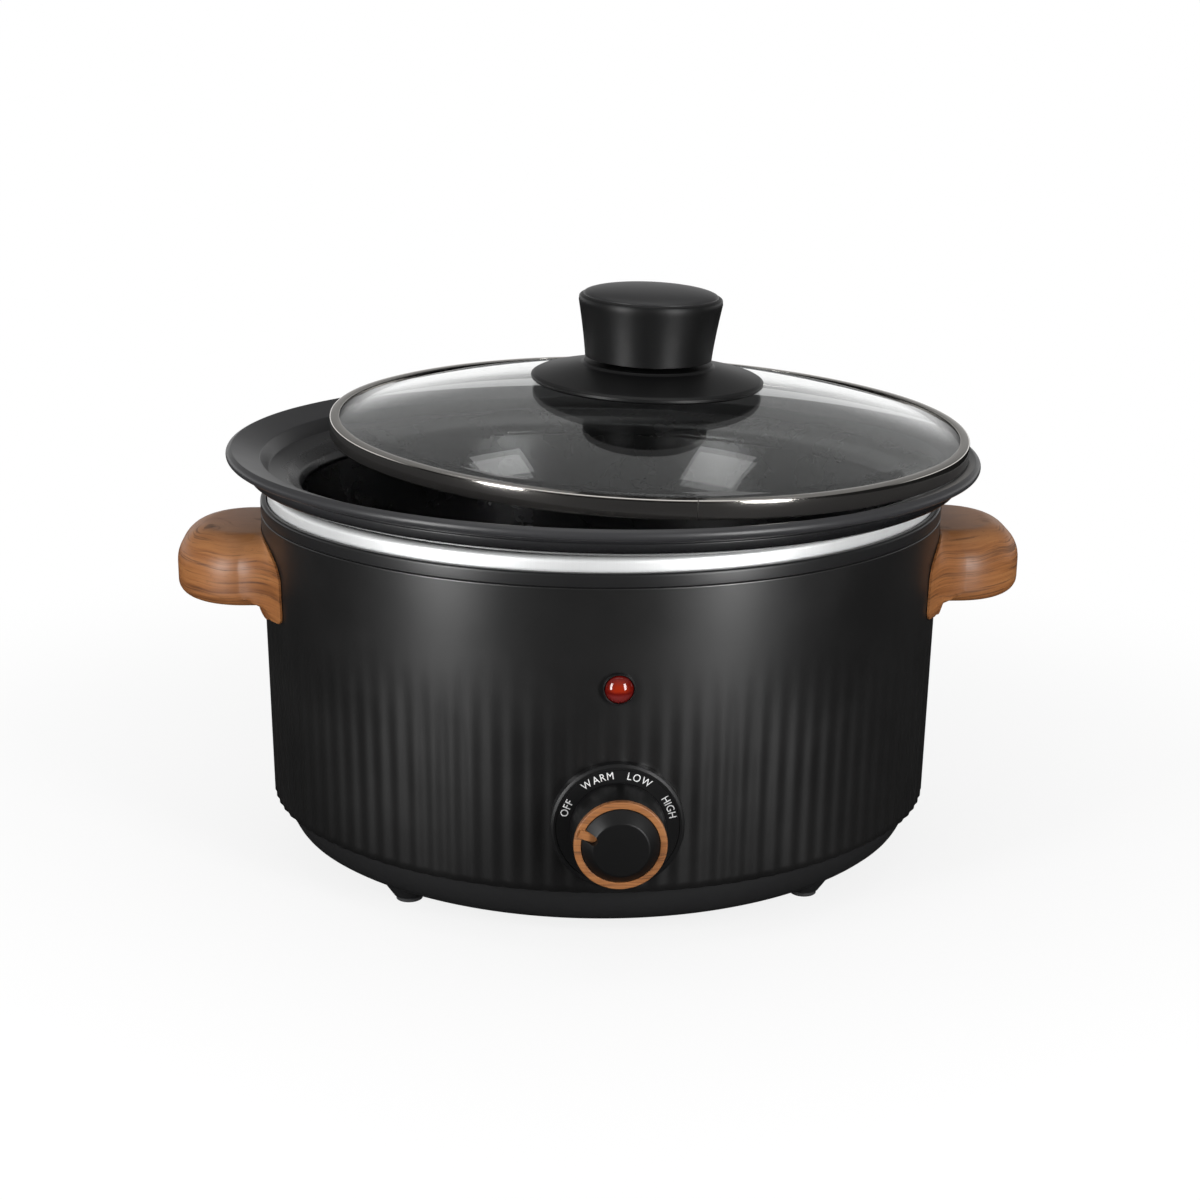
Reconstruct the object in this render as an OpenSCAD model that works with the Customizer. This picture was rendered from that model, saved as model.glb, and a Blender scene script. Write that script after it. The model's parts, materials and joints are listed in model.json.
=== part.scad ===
// Oval slow cooker: a fluted housing with a heated pan, a lift-out bowl, a glass lid and a rotary control.
// Every oval is made of four arcs. End arcs are centred on (+-end_c, 0) and side arcs on (0, -+side_e), so
// an oval is named by its half length alone, and two ovals with those centres are parallel.
// Front is -Y. The origin is at the middle of the cooker's box, on the surface that the feet stand on.

/* [Housing] */
// Half the length of the oval housing at its top edge
half_len = 145; // [135:1:160]
// How much shorter an oval's half depth is than its half length
oval_diff = 16.5; // [12:0.5:20]
// Height of the housing's bottom edge above the table
housing_bottom_z = 26.7; // [24:0.1:32]
// Height of the housing wall
housing_h = 124.3; // [120:0.1:150]
// Thickness of the housing sheet
housing_wall = 1.2; // [0.8:0.1:2]
// How much the half length shrinks from the top edge to the bottom edge
housing_taper = 1.6; // [0:0.1:3]
// Number of vertical flutes round the housing, a multiple of 4
flute_count = 104; // [80:4:104]
// Depth of a flute at the bottom edge
flute_depth = 0.9; // [0.4:0.1:1.2]
// Height of the flutes' full depth above the bottom edge
flute_full_h = 51.3; // [34:0.1:63]
// Height over which the flutes then fade out
flute_fade_h = 35; // [16:1:40]

/* [Trim ring] */
// Height of the trim ring above the housing's top edge
trim_h = 5.6; // [4:0.1:8]
// Width of the trim ring's top face, from its outer to its inner edge
trim_w = 2.4; // [2:0.1:3]
// How far the trim ring's skirt reaches down inside the housing
trim_skirt = 6; // [4:0.5:10]
// Gap between pieces that sit in each other
fit_gap = 0.3; // [0.2:0.05:0.4]

/* [Heating pan] */
// Thickness of the pan's aluminium sheet
pan_wall = 1; // [0.8:0.1:1.4]
// Height of the pan's rolled rim above the housing's top edge
pan_rim_h = 11.2; // [9:0.1:14]
// Radius of the rolled rim's outer edge
pan_rim_r = 2.4; // [1.5:0.1:3]
// Gap between the bowl's wall and the pan's
pan_gap = 2.6; // [2.2:0.1:4]

/* [Bowl] */
// Height of the bowl's lip above its underside ledge
lip_h = 13; // [11:0.1:16]
// How far the lip reaches out past the housing's top edge
lip_out = 14.4; // [12:0.1:18]
// Thickness of the bowl's wall
bowl_wall = 5.5; // [4.5:0.1:7]
// Thickness of the bowl's floor
bowl_floor_t = 8.5; // [6:0.5:10]
// Height of the bowl's underside above the table
bowl_floor_z = 39.5; // [37:0.5:44]
// Draft of the bowl's wall: half length lost from its top to its bottom
bowl_draft = 14.5; // [10:0.5:18]
// Radius between the bowl's wall and its underside
bowl_corner_r = 16; // [12:1:20]
// Degrees by which the bowl sits askew in the pan, low towards +X
bowl_lean = 0.64; // [0:0.02:0.7]

/* [Lid] */
// How far the lid lies off centre towards +X
lid_x = 20.4; // [18:0.1:21]
// Degrees by which the lid falls towards +X
lid_fall = 1.72; // [1.5:0.02:2.4]
// Degrees by which the lid rises towards the back
lid_rise = 2.5; // [1:0.1:3]
// Clearance all round between the lid's band and the bowl's recess wall when closed
lid_clear = 6.4; // [4:0.1:8]
// Height of the lid's steel band
band_h = 7.8; // [6:0.1:8]
// Thickness of the band's steel
band_t = 0.5; // [0.4:0.1:0.8]
// Width of the band's flat top
band_top_w = 4; // [3:0.1:6]
// Thickness of the lid's glass
glass_t = 4; // [3:0.1:5]
// Height of the glass dome above the band's top
dome_h = 17.6; // [14:0.1:22]
// Diameter of the skirt under the lid's knob
skirt_d = 98.2; // [80:0.2:104]
// Diameter of the lid's knob at its foot
knob_foot_d = 53.2; // [44:0.2:56]
// Diameter of the lid's knob at its top
knob_top_d = 60.4; // [52:0.2:66]
// Height of the lid's knob above its skirt's edge, up to its shoulder
knob_h = 34.4; // [28:0.2:42]
// Degrees by which the knob leans back from square on the dome
knob_lean = 2.2; // [0:0.1:2.4]

/* [Control] */
// Height of the dial's centre above the housing's bottom edge
dial_rise = 29.5; // [27.5:0.1:32]
// Diameter of the dial plate
dial_d = 51.7; // [46:0.1:54]
// How far the dial plate stands out of the housing
dial_proud = 3.8; // [3.4:0.1:6]
// Diameter of the control knob's base
control_d = 37; // [30:0.5:40]
// Depth of the control knob, from its back edge to its ring
control_h = 17.2; // [14:0.2:22]
// Diameter of the switch shaft
shaft_d = 6; // [5:0.5:7]
// Running clearance round the switch shaft
shaft_gap = 0.06; // [0.02:0.01:0.1]

/* [Indicator] */
// Drop of the indicator lamp's centre below the housing's top edge
lamp_drop = 39.3; // [36:0.1:42]
// Diameter of the indicator's bezel
bezel_d = 13; // [12:0.1:16]
// Width of the bezel's ring
bezel_w = 1.1; // [0.8:0.1:1.6]

/* [Handles] */
// How far a handle stands out from the housing's top edge
handle_out = 35.6; // [33:0.1:50]
// Depth of a handle, front to back
handle_w = 70; // [60:1:80]
// Drop of a handle's underside below the housing's top edge
handle_drop = 36; // [33:0.1:38]
// Thickness of a handle
handle_t = 29; // [24:0.1:32]
// Radius of a handle's corners seen from above
handle_corner_r = 30; // [24:1:34]
// Radius of a handle's upper edge
handle_top_r = 15; // [8:0.5:16]
// Radius of a handle's lower edge
handle_low_r = 6; // [3:0.5:8]

/* [Base] */
// Height of the base pan's underside above the table
base_z = 8.7; // [7:0.1:12]
// Thickness of the base pan's moulding
base_wall = 2; // [1.6:0.1:3]
// Distance of a foot from the centre, along the length
foot_x = 82.5; // [70:0.5:86]
// Distance of a foot from the centre, front to back
foot_y = 70.5; // [60:0.5:74]
// Diameter of a foot at its top
foot_top_d = 22; // [18:0.5:24]
// Diameter of a foot at its bottom
foot_low_d = 13; // [12:0.5:16]

/* [Hidden] */
$fn = 96;
eps = 0.01;

// Ovals: a 3-4-5 triangle joins the arc centres, so the arcs meet on its long side with a common tangent.
end_c = 2 * oval_diff;
side_e = 1.5 * oval_diff;
end_half_deg = atan(3 / 4);
side_half_deg = 90 - end_half_deg;
far = 320;
seam_lap = 3;

// Heights that carry one another
seam_z = housing_bottom_z + housing_h;
flute_full_z = housing_bottom_z + flute_full_h;
flute_top_z = flute_full_z + flute_fade_h;
dial_z = housing_bottom_z + dial_rise;
lamp_z = seam_z - lamp_drop;
handle_z = seam_z - handle_drop;
pan_top_z = seam_z + pan_rim_h;
bowl_pivot_z = seam_z - 56;
seat_half = half_len - 5;
ledge_z = pan_top_z + fit_gap + 0.03 + seat_half * sin(bowl_lean);
lip_z = ledge_z + lip_h;

// Bowl sections, as half lengths
lip_half = half_len + lip_out;
flange_half = half_len + 5.4;
crease_half = half_len + 0.3;
recess_half = half_len - 3.1;
bowl_top_half = half_len - 12.5;
seat_in_half = half_len - 7.7;
bowl_low_half = bowl_top_half - bowl_draft;
bowl_corner_half = bowl_low_half - bowl_corner_r;
bowl_core_half = bowl_corner_half - 14;
bowl_top_z = ledge_z - 7.1;
bowl_corner_z = bowl_floor_z + bowl_corner_r;
bowl_inner_floor_z = bowl_floor_z + bowl_floor_t;
crease_z = ledge_z + 8.7;
flange_slope = (lip_z - crease_z) / (lip_half - 1.2 - crease_half);

// Lid
lid_half = recess_half - lid_clear;
lid_right = lid_x + lid_half;
flange_at_lid_z = crease_z + flange_slope * (lid_right - crease_half) - lid_right * sin(bowl_lean);
lid_rest_gap = 1;
lid_z = flange_at_lid_z + band_h + lid_half * sin(lid_fall) + lid_rest_gap;
glass_gap = 0.15;
glass_half = lid_half - band_t - glass_gap;
glass_edge_z = -band_t - glass_gap;
skirt_z = dome_h + 0.4;
knob_shift = -2.2;
screw_r = 2.5;

// Front fittings: distances out from the centre plane, towards the front
dial_face = front_b(dial_z) + dial_proud;
knob_back = dial_face + 0.5;
ring_face = knob_back + control_h;
cap_rise = 4;
cap_face = ring_face + cap_rise;
ring_w = 2.75;
front_reach = cap_face;
back_reach = lip_half - oval_diff;
y_shift = (front_reach - back_reach) / 2;

// Wiring space
switch_w = 24;
switch_top_z = dial_z + switch_w / 2;
switch_face = front_b(dial_z) - flute_depth - housing_wall - 0.9;
switch_depth = 13;
bush_r = 5;
screw_hole_y = 18;
screw_hole_z = handle_z + handle_t / 2;
gland_z = 46;
gland_r = 6;

function frac(z) = (seam_z - z) / housing_h;
function housing_a(z) = half_len - housing_taper * frac(z);
function front_b(z) = housing_a(z) - oval_diff;
function fade(z) = let (t = max(0, min(1, (flute_top_z - z) / (flute_top_z - flute_full_z)))) t * t * (3 - 2 * t);
function bowl_a(z) = bowl_low_half + bowl_draft * (z - bowl_corner_z) / (bowl_top_z - bowl_corner_z);
function pan_a(z) = bowl_a(z) + pan_gap + pan_wall;
function arc(cx, cy, r, from, to, n = 5) =
  [for (i = [0:n]) let (t = from + (to - from) * i / n) [cx + r * cos(t), cy + r * sin(t)]];

// A point of the oval of half length a, whose outward normal points to phi degrees from +X.
function oval_pt(a, phi) = let (p = (phi % 360 + 360) % 360)
  (p <= end_half_deg || p >= 360 - end_half_deg) ? [end_c + (a - end_c) * cos(p), (a - end_c) * sin(p)] :
  (p < 180 - end_half_deg) ? [side_r(a) * cos(p), -side_e + side_r(a) * sin(p)] :
  (p <= 180 + end_half_deg) ? [-end_c + (a - end_c) * cos(p), (a - end_c) * sin(p)] :
  [side_r(a) * cos(p), side_e + side_r(a) * sin(p)];
function side_r(a) = a - oval_diff + side_e;

// The normal's direction at a share s of the way round, by length, starting from +X.
function oval_phi(s) = let (
    end_len = 2 * end_half_deg * (half_len - end_c), side_len = 2 * side_half_deg * side_r(half_len),
    whole = 2 * (end_len + side_len), u = ((s - floor(s)) * whole + end_len / 2) % whole,
    v = u % (whole / 2), turn = u >= whole / 2 ? 180 : 0)
  turn + (v < end_len ? v / (half_len - end_c) - end_half_deg
    : end_half_deg + (v - end_len) / side_r(half_len));

// Sweeps a profile round the oval. In the profile, x is the half length and y the height.
module oval_sweep(end_only = 0) {
  for (turn = end_only > 0 ? [0] : end_only < 0 ? [180] : [0, 180]) rotate([0, 0, turn]) {
    intersection() {
      translate([end_c, 0, 0]) rotate_extrude() translate([-end_c, 0]) children();
      wedge([end_c, 0], [4, -3], [4, 3]);
    }
    if (end_only == 0) intersection() {
      translate([0, -side_e, 0]) rotate_extrude() translate([side_e - oval_diff, 0]) children();
      wedge([0, -side_e], [4, 3], [-4, 3]);
    }
  }
}

// A tall wedge with its edge at p, between two directions given as 3-4-5 vectors.
module wedge(p, from, to) {
  reach = far / 4;
  translate([0, 0, -far]) linear_extrude(2 * far)
    polygon([p, p + reach * from, p + reach * (from + to), p + reach * to]);
}

module oval_flat(a) {
  for (turn = [0, 180]) rotate(turn) {
    intersection() {
      translate([end_c, 0]) circle(a - end_c);
      flat_wedge([end_c, 0], [4, -3], [4, 3]);
    }
    intersection() {
      translate([0, -side_e]) circle(side_r(a));
      flat_wedge([0, -side_e], [4, 3], [-4, 3]);
    }
  }
}

module flat_wedge(p, from, to) {
  reach = far / 4;
  polygon([p, p + reach * from, p + reach * (from + to), p + reach * to]);
}

module oval_plate(a, z0, z1) {
  translate([0, 0, z0]) linear_extrude(z1 - z0) oval_flat(a);
}

// Turns a child so that its +Z points out of the front, with its origin at a distance from the centre plane.
module at_front(dist, z, x = 0) {
  translate([x, -dist, z]) rotate([90, 0, 0]) children();
}

// The space inside the housing's outer face, a little enlarged, to cut what fits against it.
module housing_space(grow, z0, z1, side = 0) {
  $fn = 360;
  inner = half_len - 50;
  oval_sweep(side) polygon([[inner, z0], [housing_a(z0) + grow, z0], [housing_a(z1) + grow, z1], [inner, z1]]);
}

// A closed mesh between rings of points. rings is a list of equal rings, each running the same way round.
module ring_mesh(rings) {
  n = len(rings[0]);
  m = len(rings);
  polyhedron(points = [for (r = rings) for (p = r) p],
    faces = [for (j = [0:m - 1]) for (i = [0:n - 1])
      let (a = j * n + i, b = j * n + (i + 1) % n, c = ((j + 1) % m) * n + i, d = ((j + 1) % m) * n + (i + 1) % n)
      each [[a, c, b], [b, c, d]]]);
}

// A round tube along a list of points.
module tube(path, r, sides = 8) {
  m = len(path);
  dir = [for (i = [0:m - 1]) let (d = path[min(i + 1, m - 1)] - path[max(i - 1, 0)]) d / norm(d)];
  rings = [for (i = [0:m - 1]) let (
      up = abs(dir[i][2]) > 0.9 ? [1, 0, 0] : [0, 0, 1], u0 = cross(dir[i], up),
      u = u0 / norm(u0), v = cross(dir[i], u))
    [for (k = [0:sides - 1]) path[i] + r * (cos(360 * k / sides) * u + sin(360 * k / sides) * v)]];
  polyhedron(points = [for (g = rings) for (p = g) p],
    faces = [
      for (j = [0:m - 2]) for (i = [0:sides - 1])
        let (a = j * sides + i, b = j * sides + (i + 1) % sides)
        each [[a, b, a + sides], [b, b + sides, a + sides]],
      [for (i = [sides - 1:-1:0]) i],
      [for (i = [0:sides - 1]) (m - 1) * sides + i]
    ]);
}

// A curve through hand-picked points, rounded by averaging twice.
function soften(p) = [
  p[0], for (i = [0:len(p) - 2]) each [0.75 * p[i] + 0.25 * p[i + 1], 0.25 * p[i] + 0.75 * p[i + 1]], p[len(p) - 1]
];

module pan_screw(r, length, head_r, head_h) {
  translate([0, 0, -head_h]) cylinder(h = head_h, r = head_r);
  translate([0, 0, -eps]) cylinder(h = length + eps, r = r);
}

// ---- Housing and what closes it ----

points_per_flute = 4;

function housing_ring(z, inside) = [for (i = [0:flute_count * points_per_flute - 1])
  let (s = i / (flute_count * points_per_flute), wave = 0.5 - 0.5 * cos(360 * i / points_per_flute),
    cut = inside ? fade(z) * flute_depth + housing_wall : fade(z) * flute_depth * wave,
    p = oval_pt(housing_a(z) - cut, oval_phi(s)))
  [p[0], p[1], z]];

module housing() {
  fade_z = [for (t = [0:0.2:1]) flute_full_z + (flute_top_z - flute_full_z) * t];
  outer = [for (z = concat([housing_bottom_z], fade_z, [seam_z])) housing_ring(z, false)];
  inner = [for (z = [seam_z, flute_top_z, flute_full_z, housing_bottom_z]) housing_ring(z, true)];
  color("#262627") difference() {
    ring_mesh(concat(outer, inner));
    at_front(front_b(dial_z) - 8, dial_z) cylinder(h = 16, r = bush_r + 0.2);
    at_front(front_b(lamp_z) - 8, lamp_z) cylinder(h = 16, r = lens_shank_r + 0.2);
    for (side = [-1, 1]) for (y = [-1, 1]) translate([side * (half_len - 8), y * screw_hole_y, screw_hole_z])
      rotate([0, side * 90, 0]) cylinder(h = 16, r = handle_screw_r + 0.4);
    translate([0, front_b(gland_z) - 8, gland_z]) rotate([-90, 0, 0]) cylinder(h = 16, r = gland_r + 0.2);
  }
}

module trim_ring() {
  inner = half_len - trim_w;
  top = seam_z + trim_h;
  soft = 1.4;
  color("#2c2d30") oval_sweep() polygon(concat(
    [[inner, seam_z - trim_skirt], [inner + 0.9, seam_z - trim_skirt], [inner + 0.9, seam_z],
      [half_len - 0.4, seam_z], [half_len, seam_z + 0.4]],
    arc(half_len - soft, top - soft, soft, 0, 90, 4), [[inner, top]]));
}

pan_rim_half = half_len - trim_w - 2 * fit_gap;

module heating_pan() {
  crest = pan_rim_half - pan_rim_r;
  inner_r = bowl_corner_r + pan_gap;
  wall_top = bowl_top_z;
  color("#c8ccca") {
    oval_sweep() polygon(concat(
      [[bowl_core_half, bowl_corner_z - inner_r]], arc(bowl_corner_half, bowl_corner_z, inner_r, -90, -8),
      [[bowl_a(wall_top) + pan_gap, wall_top], [crest - 2.6, pan_top_z - 2.2], [crest - 0.8, pan_top_z]],
      arc(crest, pan_top_z - pan_rim_r, pan_rim_r, 90, 0),
      [[pan_rim_half, seam_z - 1], [pan_rim_half - pan_wall, seam_z - 1]],
      arc(crest, pan_top_z - pan_rim_r, pan_rim_r - pan_wall, 0, 90, 4),
      [[crest - 0.4, pan_top_z - pan_wall], [crest - 1.7, pan_top_z - 2.7], [pan_a(wall_top), wall_top - 0.3]],
      arc(bowl_corner_half, bowl_corner_z, inner_r + pan_wall, -8, -90),
      [[bowl_core_half, bowl_corner_z - inner_r - pan_wall]]));
    oval_plate(bowl_core_half + seam_lap, bowl_corner_z - inner_r - pan_wall, bowl_corner_z - inner_r);
  }
}

pan_floor_under_z = bowl_corner_z - bowl_corner_r - pan_gap - pan_wall;

// ---- Heating element ----

band_low_z = bowl_corner_z + 24.5;
band_high_z = band_low_z + 44;
element_t = 1.4;
wrap_t = 3;
element_gap = 0.25;
element_slot = 16;

module jacket(offset, t, z0, z1, slot) {
  difference() {
    oval_sweep() polygon([[pan_a(z0) + offset, z0], [pan_a(z0) + offset + t, z0],
      [pan_a(z1) + offset + t, z1], [pan_a(z1) + offset, z1]]);
    translate([-slot / 2, 0, z0 - 1]) cube([slot, far, z1 - z0 + 2]);
  }
}

module heating_band() {
  color("#b9b2a0") jacket(element_gap, element_t, band_low_z, band_high_z, element_slot);
}

module insulation_wrap() {
  color("#e6e2d6") jacket(element_gap * 2 + element_t, wrap_t, band_low_z - 4, band_high_z + 4, element_slot + 16);
}

terminal_w = 6;
terminal_z = band_low_z + 16;

module band_terminals() {
  y0 = pan_a(band_high_z) - oval_diff + element_gap + element_t + 0.2;
  color("#8f8f88") for (side = [-1, 1]) translate([side * (element_slot + terminal_w) / 2, y0, terminal_z]) {
    translate([-terminal_w / 2, 0, 0]) cube([terminal_w, 1, 14]);
    translate([0, 1 - eps, 7]) rotate([-90, 0, 0]) cylinder(h = 3, r = 2);
  }
}

module thermal_fuse() {
  color("#d9d4c4") translate([30, 0, pan_floor_under_z - 2.7]) rotate([0, 90, 0]) cylinder(h = 16, r = 2.5);
}

module fuse_clip() {
  color("#a9adb0") difference() {
    translate([33, -8, pan_floor_under_z - 6.4]) cube([8, 16, 6.2]);
    translate([32, 0, pan_floor_under_z - 2.7]) rotate([0, 90, 0]) cylinder(h = 10, r = 2.8);
    translate([32, -2.8, pan_floor_under_z - 2.7]) cube([10, 5.6, 3]);
    for (y = [-9, 4]) translate([32, y, pan_floor_under_z - 7]) cube([10, 5, 5.6]);
  }
}

// ---- Base ----

stud_r = 2;
stud_low_z = base_z - 4.2;
washer_t = 0.8;
nut_t = 3;
base_skirt_half = housing_a(housing_bottom_z) - flute_depth - housing_wall - fit_gap;
base_edge_half = housing_a(housing_bottom_z) - flute_depth;
base_curve_w = 15.6;

module pan_stud() {
  color("#b0b3b5") translate([0, 0, stud_low_z]) cylinder(h = pan_floor_under_z - stud_low_z, r = stud_r);
}

module stud_nut() {
  color("#b0b3b5") difference() {
    union() {
      translate([0, 0, base_z - washer_t]) cylinder(h = washer_t, r = 5.5);
      translate([0, 0, base_z - washer_t - nut_t]) cylinder(h = nut_t, r = 4, $fn = 6);
    }
    translate([0, 0, base_z - 10]) cylinder(h = 12, r = stud_r + 0.05);
  }
}

module base_pan() {
  drop = housing_bottom_z - base_z;
  turn = base_edge_half - base_curve_w;
  core = base_edge_half - 60;
  function bowl(w, h) = [for (i = [0:8]) let (t = 90 * (i / 8 - 1))
    [turn + w * cos(t), housing_bottom_z + h * sin(t)]];
  outer = bowl(base_curve_w, drop);
  inner = bowl(base_curve_w - base_wall, drop - base_wall);
  boss_r = 4;
  color("#1f1f20") difference() {
    union() {
      oval_sweep() polygon(concat([[core, base_z]], outer,
        [[base_skirt_half, housing_bottom_z], [base_skirt_half, housing_bottom_z + 6],
          [base_skirt_half - base_wall, housing_bottom_z + 6], [base_skirt_half - base_wall, housing_bottom_z]],
        [for (i = [7:-1:0]) inner[i]], [[core, base_z + base_wall]]));
      oval_plate(core + seam_lap, base_z, base_z + base_wall);
      at_feet() translate([0, 0, base_z + base_wall - eps]) cylinder(h = 6, r = boss_r);
    }
    translate([0, 0, base_z - 1]) cylinder(h = base_wall + 2, r = stud_r + 0.3);
    at_feet() translate([0, 0, base_z - 1]) cylinder(h = 20, r = foot_screw_r + 0.05);
  }
}

pad_r = 5.5;
pad_t = 3.2;
foot_low_z = 2;
foot_screw_r = 1.5;

module at_feet() {
  for (x = [-1, 1]) for (y = [-1, 1]) translate([x * foot_x, y * foot_y, 0]) children();
}

module foot(x, y) {
  color("#19191a") translate([x * foot_x, y * foot_y, 0]) difference() {
    translate([0, 0, foot_low_z]) cylinder(h = base_z - foot_low_z, r1 = foot_low_d / 2, r2 = foot_top_d / 2);
    translate([0, 0, 0]) cylinder(h = pad_t + 0.1, r = pad_r + 0.1);
    translate([0, 0, 0]) cylinder(h = 5.6, r = 3.2);
    cylinder(h = base_z + 1, r = foot_screw_r + 0.3);
  }
}

module pad(x, y) {
  color("#3a3a3a") translate([x * foot_x, y * foot_y, 0]) cylinder(h = pad_t, r = pad_r);
}

module foot_screws() {
  color("#b0b3b5") at_feet() translate([0, 0, 5.4]) pan_screw(foot_screw_r, 10, 3, 1.9);
}

// ---- Handles ----

handle_screw_r = 1.8;

module handle(side) {
  grip_profile = concat(
    [[0, handle_z], [handle_corner_r - handle_low_r, handle_z]],
    arc(handle_corner_r - handle_low_r, handle_z + handle_low_r, handle_low_r, -90, 0, 4),
    arc(handle_corner_r - handle_top_r, handle_z + handle_t - handle_top_r, handle_top_r, 0, 90, 6),
    [[0, handle_z + handle_t]]);
  lip_t = 5;
  lip_flare = 2.5;
  lip_drop = 5;
  lip_low = handle_z - lip_drop;
  lip_high = handle_z + 8;
  lip_w = handle_w - 0.6;
  spread = handle_w / 2 - handle_corner_r;
  root = half_len - 16;
  grip_end = half_len + handle_out - handle_corner_r;
  color("#b8773f") mirror([side < 0 ? 1 : 0, 0, 0]) difference() {
    union() {
      hull() for (y = [-1, 1]) for (x = [root, grip_end])
        translate([x, y * spread, 0]) rotate_extrude($fn = 56) polygon(grip_profile);
      intersection() {
        oval_sweep(1, $fn = 360) polygon([[root, lip_low], [half_len + lip_t, lip_low],
          [half_len + lip_t + lip_flare, handle_z + 1], [half_len + lip_t + lip_flare, lip_high], [root, lip_high]]);
        translate([root, -lip_w / 2, lip_low]) cube([far, lip_w, lip_high - lip_low]);
      }
    }
    housing_space(fit_gap, handle_z - 30, handle_z + handle_t + 20, 1);
    for (y = [-1, 1]) translate([half_len - 10, y * screw_hole_y, screw_hole_z])
      rotate([0, 90, 0]) cylinder(h = 28, r = handle_screw_r + 0.05);
  }
}

module left_handle() handle(-1);
module right_handle() handle(1);

screw_seat_x = end_c + sqrt(pow(housing_a(screw_hole_z) - housing_wall - end_c, 2) - pow(screw_hole_y + 3.4, 2));

module handle_screws() {
  color("#b0b3b5") for (side = [-1, 1]) for (y = [-1, 1])
    translate([side * (screw_seat_x - 0.1), y * screw_hole_y, screw_hole_z]) rotate([0, side * 90, 0])
      pan_screw(handle_screw_r, 17, 3.4, 2.2);
}

// ---- Control ----

module dial_plate() {
  edge = 0.8;
  depth = dial_proud + 6;
  color("#1c1c1d") difference() {
    at_front(dial_face - depth, dial_z) rotate_extrude() polygon([
      [9, 0], [dial_d / 2, 0], [dial_d / 2, depth - edge], [dial_d / 2 - edge, depth], [9, depth]]);
    housing_space(0.15, dial_z - 40, dial_z + 40);
  }
}

module rotary_switch() {
  y0 = switch_face - switch_depth;
  color("#55534f") difference() {
    union() {
      translate([-switch_w / 2, -switch_face, dial_z - switch_w / 2]) cube([switch_w, switch_depth, switch_w]);
      at_front(switch_face - eps, dial_z) cylinder(h = dial_face - switch_face - 0.2, r = bush_r);
    }
    at_front(y0 + 4, dial_z) cylinder(h = 60, r = shaft_d / 2 + shaft_gap);
  }
}

module switch_nut() {
  color("#b0b3b5") at_front(front_b(dial_z) + 0.3, dial_z) difference() {
    cylinder(h = 2.4, r = 7.8, $fn = 6);
    translate([0, 0, -1]) cylinder(h = 6, r = bush_r + 0.05);
  }
}

module switch_shaft() {
  inside = switch_face - switch_depth + 4.3;
  color("#c0c2c4") at_front(inside, dial_z) cylinder(h = ring_face - 5 - inside, r = shaft_d / 2);
}

module control_knob() {
  base_r = control_d / 2;
  front_r = base_r - 0.75;
  depth = control_h;
  skin = 2.2;
  floor_t = 6;
  color("#1b1b1c") at_front(knob_back, dial_z) difference() {
    rotate_extrude() polygon([[shaft_d / 2 + 0.05, 0.4], [shaft_d / 2 + 3, 0.4], [shaft_d / 2 + 3, depth - floor_t],
      [front_r - skin, depth - floor_t], [base_r - skin, 0], [base_r, 0], [front_r, depth - 2.5],
      [front_r - ring_w - 0.1, depth - 2.5], [0, depth - 2.5], [0, depth - 4.7], [shaft_d / 2 + 0.05, depth - 4.7]]);
  }
}

pointer_deg = 160;

module knob_ring() {
  r = control_d / 2 - 0.75;
  t = 2.4;
  color("#b8773f") at_front(ring_face - t, dial_z) {
    difference() {
      cylinder(h = t, r = r);
      translate([0, 0, -1]) cylinder(h = t + 2, r = r - ring_w);
    }
    pointer_bar(r - ring_w / 2, 1.65, 0, t + 1.2);
  }
}

// The pointer's outline, from a radius inwards, with a round end.
module pointer_bar(from_r, half_w, z0, z1) {
  tip_r = 9;
  rotate([0, 0, pointer_deg]) translate([0, 0, z0]) {
    translate([tip_r, -half_w, 0]) cube([from_r - tip_r, 2 * half_w, z1 - z0]);
    translate([tip_r, 0, 0]) cylinder(h = z1 - z0, r = half_w);
  }
}

module knob_cap() {
  r = control_d / 2 - 0.75 - ring_w - 0.2;
  t = 2.4;
  flat_r = 10.7;
  color("#222223") at_front(ring_face - t, dial_z) difference() {
    rotate_extrude() polygon([[0, 0], [r, 0], [r, t], [flat_r + 1, t + cap_rise - 0.35], [flat_r, t + cap_rise],
      [0, t + cap_rise]]);
    pointer_bar(r + 2, 1.85, -1, t + cap_rise + 1);
  }
}

// ---- Indicator ----

lens_shank_r = 4.6;
lamp_face = front_b(lamp_z) + 0.5;

module indicator_bezel() {
  outer = bezel_d / 2;
  color("#141414") difference() {
    at_front(lamp_face - 3, lamp_z) rotate_extrude() polygon([[outer - bezel_w, 0], [outer, 0], [outer, 4],
      [outer - 0.4, 4.5], [outer - bezel_w, 4.5]]);
    housing_space(0.15, lamp_z - 20, lamp_z + 20);
  }
}

module indicator_lens() {
  flange_r = bezel_d / 2 - bezel_w - 0.15;
  dome_r = 6.6;
  sink = sqrt(dome_r * dome_r - flange_r * flange_r);
  color("#8c0d0a") at_front(lamp_face, lamp_z) difference() {
    rotate_extrude() polygon(concat([[2.4, -6.5], [lens_shank_r, -6.5], [lens_shank_r, 0], [flange_r, 0]],
      [for (i = [0:8]) let (a = acos(flange_r / dome_r) * (8 - i) / 8 + 90 * i / 8)
        [dome_r * cos(a), 1 + dome_r * sin(a) - sink]], [[0, 0.6], [2.4, 0.6]]));
  }
}

module neon_lamp() {
  color("#e0a080") at_front(lamp_face - 8.5, lamp_z) {
    cylinder(h = 8.8, r = 2.1);
    cylinder(h = 1.7, r = 4.4);
  }
}

// ---- Supply ----

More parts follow.
